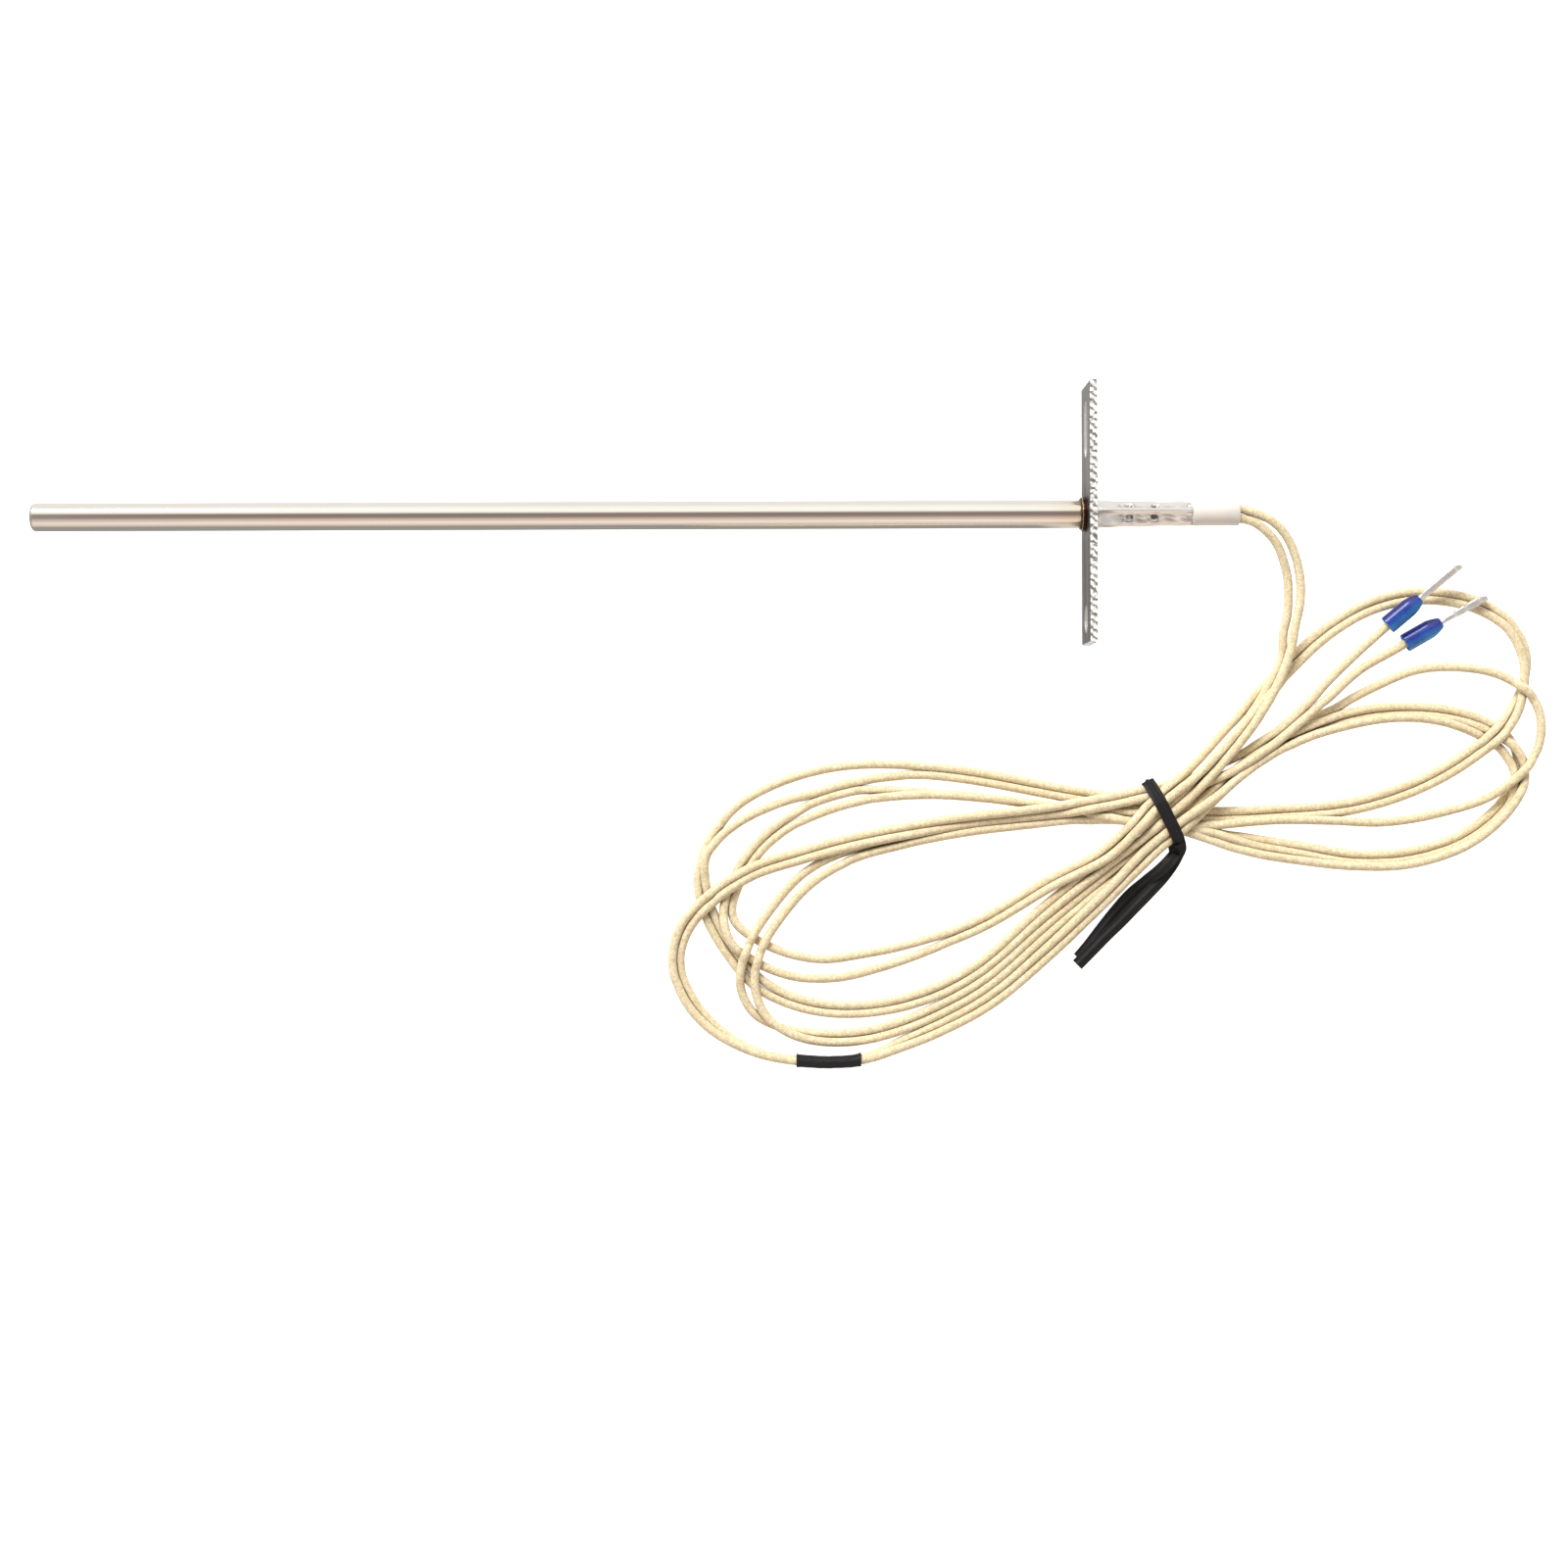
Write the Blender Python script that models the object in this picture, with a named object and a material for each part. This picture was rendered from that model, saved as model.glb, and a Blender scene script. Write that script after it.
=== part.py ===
"""Thermocouple probe with a screw-on flange, a crimped tail and two braided leads.

The probe lies level along X, its tip towards -X, with the long edge of its flange on the
surface z = 0. The leads leave the tail towards +X, and lie beside it, folded into a
figure-eight hank that a twist tie holds at its waist. The origin is on that surface, under
the middle of the probe.
"""

import math

import bmesh
import bpy
from mathutils import Matrix, Vector

MM = 0.001

# Faces round a turned body, points between two given points of a curve, and the sharpest
# edge that is still shaded smooth
ROUND = 24
FINE_ROUND = 12
CRIMP_ROUND = 32
CRIMP_SECTIONS = 20
CURVE_STEPS = 16
SHARP_EDGE = math.radians(35)

# Gaps between pieces that touch on the real object
GAP = 0.3 * MM
FINE_GAP = 0.15 * MM

# Sheath and flange
SHEATH_RADIUS = 2.38 * MM
SHEATH_WALL = 0.45 * MM
INSERTION = 177.8 * MM
FLANGE_THICKNESS = 1.2 * MM
FLANGE_WIDTH = 12.7 * MM
FLANGE_LENGTH = 43.8 * MM
SLOT_WIDTH = 4.0 * MM
SLOT_LENGTH = 9.4 * MM
SLOT_Y = 14.3 * MM
HOLE_RADIUS = 2.3 * MM
HOLE_Y = -17.7 * MM
WELD_RADIUS = 3.4 * MM
WELD_HEIGHT = 0.9 * MM
WELD_DEPTH = 0.35 * MM
WELD_GROOVE_DEPTH = 0.6 * MM
CAP_THICKNESS = 0.5 * MM
CAP_CHAMFER = 0.12 * MM
CAP_SPIGOT = 1.5 * MM

# Crimped tail and the sleeve that comes out of it. The folds deepen over the first part of
# the tail's length and ease a little over the last.
TAIL_LENGTH = 16.5 * MM
TAIL_END_RADIUS = 2.08 * MM
TAIL_DENT = 0.55 * MM
FOLDING = 0.28
EASING = 0.28
EASED = 0.35
DIMPLE_DEPTH = 0.3 * MM
DIMPLE_RADIUS = 0.75 * MM
DIMPLES = (5.9 * MM, 10.4 * MM)
SLEEVE_SHOWING = 8.1 * MM
SLEEVE_HIDDEN = 4.4 * MM
SLEEVE_RADIUS = 2.05 * MM
SLEEVE_BORE = 1.75 * MM
SLEEVE_THROAT = 1.1 * MM
SLEEVE_NECK = 1.2 * MM

# Sensing element
WIRE_RADIUS = 0.25 * MM
WIRE_SPREAD = 0.75 * MM
BEAD_RADIUS = 0.6 * MM
BEAD_GAP = 0.45 * MM
INSULATOR_RADIUS = 1.65 * MM
INSULATOR_BORE = 0.4 * MM
INSULATORS = 6
PACKING_LENGTH = 3.4 * MM
PACKING_BORE = 1.05 * MM
CEMENT_LENGTH = 2.5 * MM
SPLICE_LENGTH = 5.0 * MM
SPLICE_RADIUS = 0.6 * MM
SPLICE_BORE = 0.4 * MM
SPLICE_SLEEVE_LENGTH = 6.0 * MM
SPLICE_SLEEVE_RADIUS = 0.92 * MM
SPLICE_SLEEVE_BORE = 0.75 * MM
SPLICE_SLEEVE_BACK = 0.5 * MM

# Leads
LEAD_RADIUS = 0.775 * MM
CORE_RADIUS = 0.42 * MM
CORE_SPREAD = 0.6 * MM
LEAD_SPREAD = 0.85 * MM
LEAD_STEP = 3.4 * MM
LEAD_IN_SLEEVE = 4.5 * MM
CORE_BARED = 0.6 * MM
CORE_TAPER = 0.3 * MM

# Ferrules, each measured along its own axis from the rear of its collar
COLLAR_LENGTH = 7.0 * MM
COLLAR_STRAIGHT = 4.3 * MM
COLLAR_RADIUS = 1.6 * MM
COLLAR_NOSE = 1.1 * MM
COLLAR_WALL = 0.35 * MM
PIN_LENGTH = 8.7 * MM
PIN_RADIUS = 0.65 * MM
PIN_WALL = 0.14 * MM
PIN_FLARE = 0.3 * MM
STRANDS_RADIUS = 0.36 * MM
LEAD_IN_COLLAR = 1.3 * MM

# Hank, marker sleeve and twist tie
HANK_HEIGHT = 5.2 * MM
HANK_SPACING = 3.0 * MM
SHOULDER_HEIGHT = 1.6 * MM
SHOULDER_CENTRE = Vector((141.5, -14.0, 0)) * MM
SHOULDER_SIZE = Vector((31.0, 17.0, 0)) * MM
MARKER_START = Vector((26.9, -92.5, 0)) * MM
MARKER_LENGTH = 11.0 * MM
MARKER_WIDTH = 2.2 * MM
MARKER_HEIGHT = 3.5 * MM
MARKER_WALL = 0.25 * MM
MARKER_BAY_START = 0.3 * MM
WAIST = Vector((89.4, -50.1, 0)) * MM
WAIST_WIDTH = 11.1 * MM
WAIST_TURN = math.radians(26.8)
TIE_WIDTH = 2.1 * MM
TIE_THICKNESS = 0.7 * MM
TIE_CORNER = 1.3 * MM
TIE_LIFT = 0.08 * MM
TIE_STEP = 1.2 * MM

# Derived places
AXIS_Z = FLANGE_WIDTH / 2
PROBE_LENGTH = INSERTION + FLANGE_THICKNESS + TAIL_LENGTH + SLEEVE_SHOWING
TIP_X = -PROBE_LENGTH / 2
FRONT_X = TIP_X + INSERTION
BACK_X = FRONT_X + FLANGE_THICKNESS
TAIL_X = BACK_X + TAIL_LENGTH
MOUTH_X = TAIL_X + SLEEVE_SHOWING
BORE_RADIUS = SHEATH_RADIUS - SHEATH_WALL
BEAD_X = TIP_X + CAP_THICKNESS + CAP_SPIGOT + 1.8 * MM
INSULATORS_X = BEAD_X + 2.4 * MM
INSULATORS_END_X = 58 * MM
CEMENT_X = INSULATORS_END_X + GAP
SPLICE_X = (CEMENT_X + CEMENT_LENGTH + 1.2 * MM, CEMENT_X + CEMENT_LENGTH + 8.2 * MM)

# Routes of the leads where they aren't in the hank, in mm. The first leaves the sleeve on
# its +Y side and ends in the first ferrule.
EXIT_ROUTES = (
    ((97.3, 0.85, 6.35), (101.8, 0.85, 6.35), (104.6, 0.3, 6.3), (107.4, -1.0, 5.9),
     (109.7, -3.1, 5.2), (111.3, -5.9, 4.2), (112.3, -9.0, 3.1), (112.7, -12.3, 2.3),
     (112.5, -15.5, 2.0), (111.8, -18.7, 2.0), (111.1, -21.2, 2.3)),
    ((97.3, -0.85, 6.35), (101.8, -0.85, 6.35), (104.4, -1.5, 6.3), (106.7, -3.0, 5.8),
     (108.6, -5.2, 4.9), (109.8, -7.9, 3.7), (110.6, -10.9, 2.3), (110.8, -14.2, 1.1),
     (110.6, -17.2, 0.85), (110.0, -20.0, 0.85), (109.5, -21.7, 0.95)),
)
FERRULE_ROUTES = (
    ((113.3, -32.6, 4.2), (115.6, -30.2, 4.1), (118.0, -27.6, 3.8), (120.7, -25.0, 3.4),
     (123.4, -22.5, 3.0), (125.9, -20.3, 2.8)),
    ((118.2, -30.6, 3.9), (120.6, -28.3, 3.4), (123.3, -26.1, 2.7), (126.2, -24.4, 2.1),
     (129.0, -22.9, 1.8)),
)
# The rear end of each collar, in mm, with the ferrule's heading and climb in degrees.
FERRULES = (
    ((127.7, -18.7, 2.75), 40.4, 8.0),
    ((130.9, -21.7, 1.75), 30.0, 4.5),
)

# Outlines of the hank from above, in mm: the figure eight and the openings in its lobes
HANK_OUTLINE = (
    (87.0, -44.9), (98.6, -35.2), (105.6, -27.9), (111.0, -22.7), (117.5, -17.4), (124.7, -13.5),
    (132.1, -11.9), (139.4, -12.2), (146.0, -14.3), (150.6, -18.8), (152.8, -24.5),
    (154.6, -31.6), (154.6, -38.6), (151.6, -44.6), (148.6, -49.8), (141.6, -56.2),
    (132.3, -60.4), (122.6, -60.8), (112.0, -59.2), (101.3, -57.0), (92.0, -55.3),
    (75.0, -69.8), (58.4, -85.3), (46.2, -90.8), (32.3, -93.2), (20.0, -92.1), (10.8, -87.2),
    (5.6, -80.2), (5.2, -72.6), (9.3, -64.9), (10.3, -57.6), (14.6, -49.9), (23.5, -44.5),
    (35.0, -41.6), (47.6, -41.5), (60.0, -43.1), (72.5, -45.9),
)
HANK_OPENINGS = (
    ((111.0, -31.5), (114.8, -24.9), (121.0, -19.9), (128.2, -16.7), (135.5, -15.6),
     (142.0, -16.6), (147.2, -20.2), (148.4, -24.6), (144.5, -24.9), (137.0, -24.3),
     (129.0, -26.2), (122.6, -29.7), (116.2, -33.9), (112.4, -35.6)),
    ((98.4, -47.9), (108.6, -40.3), (116.0, -37.7), (125.3, -35.5), (133.3, -35.2),
     (140.0, -36.3), (144.4, -38.9), (141.2, -41.5), (132.0, -46.0), (122.0, -47.9),
     (110.0, -49.0)),
    ((79.0, -52.6), (68.0, -51.9), (58.0, -53.3), (46.0, -56.2), (35.0, -60.2),
     (28.5, -64.4), (23.6, -70.8), (27.4, -73.9), (34.0, -74.3), (46.0, -71.7),
     (58.3, -67.5), (70.0, -60.7)),
)

# The tie's two tails, in mm from above, from the neck outwards
TIE_TAILS = (
    ((92.3, -57.6), (91.2, -59.3), (89.6, -61.2), (87.4, -63.7), (84.4, -66.9), (82.4, -69.0),
     (80.3, -71.1), (78.3, -73.3), (74.6, -76.6)),
    ((92.0, -57.7), (90.4, -59.4), (87.9, -61.4), (84.9, -63.9), (82.1, -66.9), (80.4, -69.0),
     (78.5, -71.1), (76.8, -73.3), (75.2, -75.0)),
)


def clear_scene():
    for obj in list(bpy.data.objects):
        bpy.data.objects.remove(obj, do_unlink=True)


def material(name, colour, roughness, metallic=0.0):
    made = bpy.data.materials.new(name)
    made.use_nodes = True
    shader = made.node_tree.nodes["Principled BSDF"]
    shader.inputs["Base Color"].default_value = (*colour, 1)
    shader.inputs["Roughness"].default_value = roughness
    shader.inputs["Metallic"].default_value = metallic
    return made


def add_object(name, data, finish):
    data.materials.clear()
    data.materials.append(finish)
    obj = bpy.data.objects.new(name, data)
    bpy.context.scene.collection.objects.link(obj)
    return obj


def add_mesh(name, bm, finish):
    """A new object from a bmesh, smooth but for its sharp edges."""
    bmesh.ops.recalc_face_normals(bm, faces=bm.faces)
    mesh = bpy.data.meshes.new(name)
    bm.to_mesh(mesh)
    bm.free()
    mesh.shade_smooth()
    mesh.set_sharp_from_angle(angle=SHARP_EDGE)
    return add_object(name, mesh, finish)


def skin(name, loops, finish, closed=False):
    """A body whose surface runs through the loops in turn, and back to the first if closed."""
    bm = bmesh.new()
    rings = [[bm.verts.new(point) for point in loop] for loop in loops]
    pairs = list(zip(rings, rings[1:], strict=False))
    if closed:
        pairs.append((rings[-1], rings[0]))
    else:
        bm.faces.new(rings[0])
        bm.faces.new(rings[-1])
    for near, far in pairs:
        for i in range(len(near)):
            j = (i + 1) % len(near)
            bm.faces.new((near[i], near[j], far[j], far[i]))
    return add_mesh(name, bm, finish)


def circle(x, radius, segments, y=0.0, z=AXIS_Z):
    """A circle of points round an axis along X."""
    turns = (2 * math.pi * i / segments for i in range(segments))
    return [Vector((x, y + radius * math.cos(t), z + radius * math.sin(t))) for t in turns]


def turned(name, profile, finish, segments=ROUND, closed=False, y=0.0, z=AXIS_Z):
    """A body turned round an axis along X from a profile of (x, radius)."""
    loops = [circle(x, radius, segments, y, z) for x, radius in profile]
    return skin(name, loops, finish, closed)


def sleeve_profile(start, end, radius, bore):
    """The profile of a plain tube."""
    return ((start, radius), (end, radius), (end, bore), (start, bore))


def smooth(points, spacing, closed=False):
    """Evenly spaced points along a Catmull-Rom curve through the given points."""
    points = [Vector(p) for p in points]
    if closed:
        ends = [points[-1], *points, points[0], points[1]]
    else:
        ends = [2 * points[0] - points[1], *points, 2 * points[-1] - points[-2]]
    dense = []
    for a, b, c, d in zip(ends, ends[1:], ends[2:], ends[3:], strict=False):
        for step in range(CURVE_STEPS):
            t = step / CURVE_STEPS
            dense.append(
                b
                + (c - a) * (t / 2)
                + (2 * a - 5 * b + 4 * c - d) * (t * t / 2)
                + (3 * b - a - 3 * c + d) * (t**3 / 2)
            )
    dense.append(points[0] if closed else points[-1])
    length = sum((q - p).length for p, q in zip(dense, dense[1:], strict=False))
    count = max(2, round(length / spacing))
    even, walked, wanted = [], 0.0, 0.0
    for p, q in zip(dense, dense[1:], strict=False):
        side = (q - p).length
        while side > 0 and wanted <= walked + side + 1e-12 and len(even) < count:
            even.append(p.lerp(q, (wanted - walked) / side))
            wanted += length / count
        walked += side
    return even if closed else [*even, dense[-1]]


def tube(name, points, radius, finish, widths=None):
    """A round cord along the points. widths scales its radius at each of them."""
    curve = bpy.data.curves.new(name, "CURVE")
    curve.dimensions = "3D"
    curve.bevel_depth = radius
    curve.bevel_resolution = 2
    curve.use_fill_caps = True
    spline = curve.splines.new("POLY")
    spline.points.add(len(points) - 1)
    for i, (node, point) in enumerate(zip(spline.points, points, strict=True)):
        node.co = (*point, 1)
        node.radius = widths[i] if widths else 1
    return add_object(name, curve, finish)


def extruded(name, outlines, low, high, finish):
    """A flat body from low to high, of an outline and the openings in it."""
    curve = bpy.data.curves.new(name, "CURVE")
    curve.dimensions = "2D"
    curve.fill_mode = "BOTH"
    curve.extrude = (high - low) / 2
    for outline in outlines:
        spline = curve.splines.new("POLY")
        spline.points.add(len(outline) - 1)
        for node, point in zip(spline.points, outline, strict=True):
            node.co = (point[0], point[1], 0, 1)
        spline.use_cyclic_u = True
    helper = add_object(name + "_outline", curve, finish)
    bm = bmesh.new()
    bm.from_mesh(helper.to_mesh())
    bpy.data.objects.remove(helper, do_unlink=True)
    bmesh.ops.remove_doubles(bm, verts=bm.verts, dist=0.001 * MM)
    bmesh.ops.translate(bm, verts=bm.verts, vec=(0, 0, (low + high) / 2))
    return add_mesh(name, bm, finish)


def box(name, size, centre, finish, turn=0.0):
    """A rectangular block, turned about Z."""
    bm = bmesh.new()
    place = Matrix.Translation(centre) @ Matrix.Rotation(turn, 4, "Z")
    bmesh.ops.create_cube(bm, size=1, matrix=place @ Matrix.Diagonal((*size, 1)))
    return add_mesh(name, bm, finish)


def cut(obj, cutter):
    """Takes the cutter's shape out of the object, and leaves the cutter out of the part."""
    cutter.hide_render = True
    cutter.display_type = "WIRE"
    boolean = obj.modifiers.new(cutter.name, "BOOLEAN")
    boolean.operation = "DIFFERENCE"
    boolean.solver = "EXACT"
    boolean.object = cutter


def ribbon(name, path, width, thickness, finish):
    """A flat strip along the path, with its width level at both ends and a slow turn between."""
    alongs = [
        (path[min(i + 1, len(path) - 1)] - path[max(i - 1, 0)]).normalized()
        for i in range(len(path))
    ]
    across = alongs[0].cross(Vector((0, 0, 1)))
    widths = []
    for along in alongs:
        across = (across - across.dot(along) * along).normalized()
        widths.append(across)
    level = alongs[-1].cross(Vector((0, 0, 1))).normalized()
    if level.dot(across) < 0:
        level = -level
    turn = math.atan2(across.cross(level).dot(alongs[-1]), across.dot(level))
    loops = []
    for i, (point, along, across) in enumerate(zip(path, alongs, widths, strict=True)):
        across = Matrix.Rotation(turn * i / (len(path) - 1), 3, along) @ across
        up = along.cross(across)
        corners = ((1, 1), (-1, 1), (-1, -1), (1, -1))
        loops.append(
            [point + across * (a * width / 2) + up * (b * thickness / 2) for a, b in corners]
        )
    return skin(name, loops, finish)


def steps(start, end, count):
    """count + 1 evenly spaced numbers from start to end."""
    return [start + (end - start) * i / count for i in range(count + 1)]


def tail_radius(x, turn):
    """The crimped tail's outer radius at a place along it and an angle round it.

    Four punches fold the tube in between four ridges, one of them on top, and each leaves
    two dimples.
    """
    along = (x - BACK_X) / TAIL_LENGTH
    closing = min(1.0, max(0.0, along / FOLDING))
    opening = 1.0 - EASED * max(0.0, 1 - (1 - along) / EASING)
    ridge = SHEATH_RADIUS + (TAIL_END_RADIUS - SHEATH_RADIUS) * max(0.0, along)
    fold = 0.5 - 0.5 * math.cos(4 * turn)
    radius = ridge - TAIL_DENT * closing * opening * fold
    for place in DIMPLES:
        for side in range(4):
            facet = math.pi / 4 + side * math.pi / 2
            around = radius * math.remainder(turn - facet, 2 * math.pi)
            away = math.hypot(x - BACK_X - place, around) / DIMPLE_RADIUS
            radius -= DIMPLE_DEPTH * math.exp(-(away**2))
    return radius


def tail_loop(x, inset):
    """The crimped section at x, moved inwards by inset."""
    loop = []
    for i in range(CRIMP_ROUND):
        turn = 2 * math.pi * i / CRIMP_ROUND
        radius = tail_radius(x, turn) - inset
        loop.append(Vector((x, radius * math.cos(turn), AXIS_Z + radius * math.sin(turn))))
    return loop


def make_sheath(finish):
    plain = (TIP_X + CAP_THICKNESS + FINE_GAP, BACK_X - 1.0 * MM)
    crimped = steps(BACK_X, TAIL_X, CRIMP_SECTIONS)
    outside = [circle(x, SHEATH_RADIUS, CRIMP_ROUND) for x in plain]
    outside += [tail_loop(x, 0) for x in crimped]
    inside = [circle(x, BORE_RADIUS, CRIMP_ROUND) for x in plain]
    inside += [tail_loop(x, SHEATH_WALL) for x in crimped]
    skin("sheath_tube", outside + inside[::-1], finish, closed=True)


def make_tip_cap(finish):
    face = TIP_X + CAP_THICKNESS
    spigot = BORE_RADIUS - FINE_GAP
    profile = (
        (TIP_X, SHEATH_RADIUS * 0.72),
        (TIP_X + CAP_CHAMFER, SHEATH_RADIUS * 0.92),
        (face, SHEATH_RADIUS),
        (face, spigot),
        (face + CAP_SPIGOT, spigot),
    )
    turned("tip_cap", profile, finish, CRIMP_ROUND)


def make_flange(finish):
    size = (FLANGE_THICKNESS, FLANGE_LENGTH, FLANGE_WIDTH)
    middle = Vector(((FRONT_X + BACK_X) / 2, 0, AXIS_Z))
    plate = box("flange_plate", size, middle, finish)
    clearance = SHEATH_RADIUS + FINE_GAP
    groove = (
        (FRONT_X - MM, WELD_RADIUS + FINE_GAP),
        (FRONT_X, WELD_RADIUS + FINE_GAP),
        (FRONT_X + WELD_GROOVE_DEPTH, clearance),
        (BACK_X + MM, clearance),
    )
    cut(plate, turned("tube_hole_cutter", groove, finish, CRIMP_ROUND))
    through = ((FRONT_X - MM, HOLE_RADIUS), (BACK_X + MM, HOLE_RADIUS))
    cut(plate, turned("screw_hole_cutter", through, finish, y=HOLE_Y))
    reach = SLOT_LENGTH / 2 - SLOT_WIDTH / 2
    loop = []
    for side in (1, -1):
        for turn in steps(-math.pi / 2, math.pi / 2, FINE_ROUND):
            along = side * (reach + SLOT_WIDTH / 2 * math.cos(turn))
            rise = side * SLOT_WIDTH / 2 * math.sin(turn)
            loop.append(Vector((0, SLOT_Y + along, AXIS_Z + rise)))
    ends = [[point + Vector((x, 0, 0)) for point in loop] for x in (FRONT_X - MM, BACK_X + MM)]
    cut(plate, skin("slot_cutter", ends, finish))


def make_weld(finish):
    """The bead fills the flange's groove and rises up the tube on the tip side."""
    tube_side = SHEATH_RADIUS + FINE_GAP
    profile = (
        (FRONT_X - WELD_HEIGHT, tube_side),
        (FRONT_X - WELD_HEIGHT * 0.86, tube_side + 0.35 * MM),
        (FRONT_X - WELD_HEIGHT * 0.45, WELD_RADIUS - 0.2 * MM),
        (FRONT_X, WELD_RADIUS),
        (FRONT_X + WELD_DEPTH, tube_side + 0.05 * MM),
        (FRONT_X + WELD_DEPTH, tube_side),
    )
    turned("flange_weld", profile, finish, CRIMP_ROUND, closed=True)


def make_sleeve(finish):
    """The white sleeve fills the end of the tail and opens out past it."""
    sections = steps(BACK_X, TAIL_X, CRIMP_SECTIONS)
    squeezed = [x for x in sections if x > TAIL_X - SLEEVE_HIDDEN]
    start = squeezed[0]
    loops = [tail_loop(x, SHEATH_WALL + FINE_GAP) for x in squeezed]
    for x in (TAIL_X + GAP, MOUTH_X):
        loops.append(circle(x, SLEEVE_RADIUS, CRIMP_ROUND))
    for x in (MOUTH_X, TAIL_X + SLEEVE_NECK):
        loops.append(circle(x, SLEEVE_BORE, CRIMP_ROUND))
    for x in (TAIL_X, start):
        loops.append(circle(x, SLEEVE_THROAT, CRIMP_ROUND))
    skin("insulating_sleeve", loops, finish, closed=True)


def twin_bore(name, start, end, finish):
    """A round rod with a bore for each wire."""
    circles = [(0, INSULATOR_RADIUS, ROUND)]
    circles += [(side * WIRE_SPREAD, INSULATOR_BORE, FINE_ROUND) for side in (1, -1)]
    outlines = []
    for centre, radius, segments in circles:
        turns = (2 * math.pi * i / segments for i in range(segments))
        outlines.append([(radius * math.cos(t), centre + radius * math.sin(t)) for t in turns])
    rod = extruded(name, outlines, 0, end - start, finish)
    rod.rotation_euler = (0, math.pi / 2, 0)
    rod.location = (start, 0, AXIS_Z)


def make_insulation(ceramic, cement, magnesia):
    pitch = (INSULATORS_END_X - INSULATORS_X) / INSULATORS
    for i in range(INSULATORS):
        start = INSULATORS_X + i * pitch
        twin_bore(f"ceramic_insulator_{i + 1}", start, start + pitch - GAP, ceramic)
    twin_bore("cement_plug", CEMENT_X, CEMENT_X + CEMENT_LENGTH, cement)
    end = INSULATORS_X - GAP
    profile = sleeve_profile(end - PACKING_LENGTH, end, INSULATOR_RADIUS, PACKING_BORE)
    turned("magnesia_packing", profile, magnesia, closed=True)


def make_junction(finish):
    loops = []
    for turn in steps(0.12 * math.pi, 0.88 * math.pi, 8):
        x = BEAD_X - BEAD_RADIUS * math.cos(turn)
        loops.append(circle(x, BEAD_RADIUS * math.sin(turn), FINE_ROUND))
    skin("junction_bead", loops, finish)


def make_element(side, pole, splice_x, wire, metal, sleeving, core):
    """One wire from the junction to its splice, and the lead's core from there to the sleeve."""
    y = side * WIRE_SPREAD
    ends = (BEAD_X + BEAD_GAP, splice_x + 0.4 * SPLICE_LENGTH)
    tube(f"thermo_wire_{pole}", [Vector((x, y, AXIS_Z)) for x in ends], WIRE_RADIUS, wire)
    barrel = sleeve_profile(splice_x, splice_x + SPLICE_LENGTH, SPLICE_RADIUS, SPLICE_BORE)
    turned(f"splice_barrel_{pole}", barrel, metal, FINE_ROUND, closed=True, y=y)
    cover = sleeve_profile(
        splice_x - SPLICE_SLEEVE_BACK,
        splice_x - SPLICE_SLEEVE_BACK + SPLICE_SLEEVE_LENGTH,
        SPLICE_SLEEVE_RADIUS,
        SPLICE_SLEEVE_BORE,
    )
    turned(f"splice_sleeve_{pole}", cover, sleeving, FINE_ROUND, closed=True, y=y)
    bared = splice_x + 0.6 * SPLICE_LENGTH
    covered = splice_x + SPLICE_LENGTH + CORE_BARED
    narrow = WIRE_RADIUS / CORE_RADIUS
    route = [
        (bared, y, narrow),
        (covered, y, narrow),
        (covered + CORE_TAPER, y, 1),
        (BACK_X + 1.5 * MM, y, 1),
        (BACK_X + 4.0 * MM, side * CORE_SPREAD, 1),
        (TAIL_X - 0.5 * MM, side * CORE_SPREAD, 1),
        (TAIL_X + 2.2 * MM, side * LEAD_SPREAD, 1),
        (MOUTH_X - LEAD_IN_SLEEVE - GAP, side * LEAD_SPREAD, 1),
    ]
    centres = [Vector((x, across, AXIS_Z)) for x, across, _ in route]
    tube(f"lead_core_{pole}", centres, CORE_RADIUS, core, [width for *_, width in route])


def make_ferrule(number, collar_finish, pin_finish, strand_finish):
    """A bootlace ferrule: a plastic collar, the tinned pin in it and the bared strands in that."""
    rear, heading, climb = FERRULES[number - 1]
    throat = COLLAR_RADIUS - COLLAR_WALL
    nose = PIN_RADIUS + FINE_GAP
    collar = (
        (0, COLLAR_RADIUS),
        (COLLAR_STRAIGHT, COLLAR_RADIUS),
        (COLLAR_LENGTH, COLLAR_NOSE),
        (COLLAR_LENGTH, nose),
        (COLLAR_STRAIGHT + 0.8 * MM, nose),
        (COLLAR_STRAIGHT - 0.4 * MM, throat),
        (0, throat),
    )
    end = COLLAR_LENGTH + PIN_LENGTH
    flare = (COLLAR_STRAIGHT - 0.6 * MM, PIN_RADIUS + PIN_FLARE)
    straight = COLLAR_STRAIGHT + 0.6 * MM
    pin = (
        flare,
        (straight, PIN_RADIUS),
        (end, PIN_RADIUS),
        (end, PIN_RADIUS - PIN_WALL),
        (straight, PIN_RADIUS - PIN_WALL),
        (flare[0], flare[1] - PIN_WALL),
    )
    strands = ((LEAD_IN_COLLAR + GAP, STRANDS_RADIUS), (end - GAP, STRANDS_RADIUS))
    pieces = (
        turned(f"ferrule_collar_{number}", collar, collar_finish, ROUND, closed=True, z=0),
        turned(f"ferrule_pin_{number}", pin, pin_finish, FINE_ROUND, closed=True, z=0),
        turned(f"conductor_end_{number}", strands, strand_finish, FINE_ROUND, z=0),
    )
    for piece in pieces:
        piece.location = Vector(rear) * MM
        piece.rotation_euler = (0, -math.radians(climb), math.radians(heading))


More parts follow.
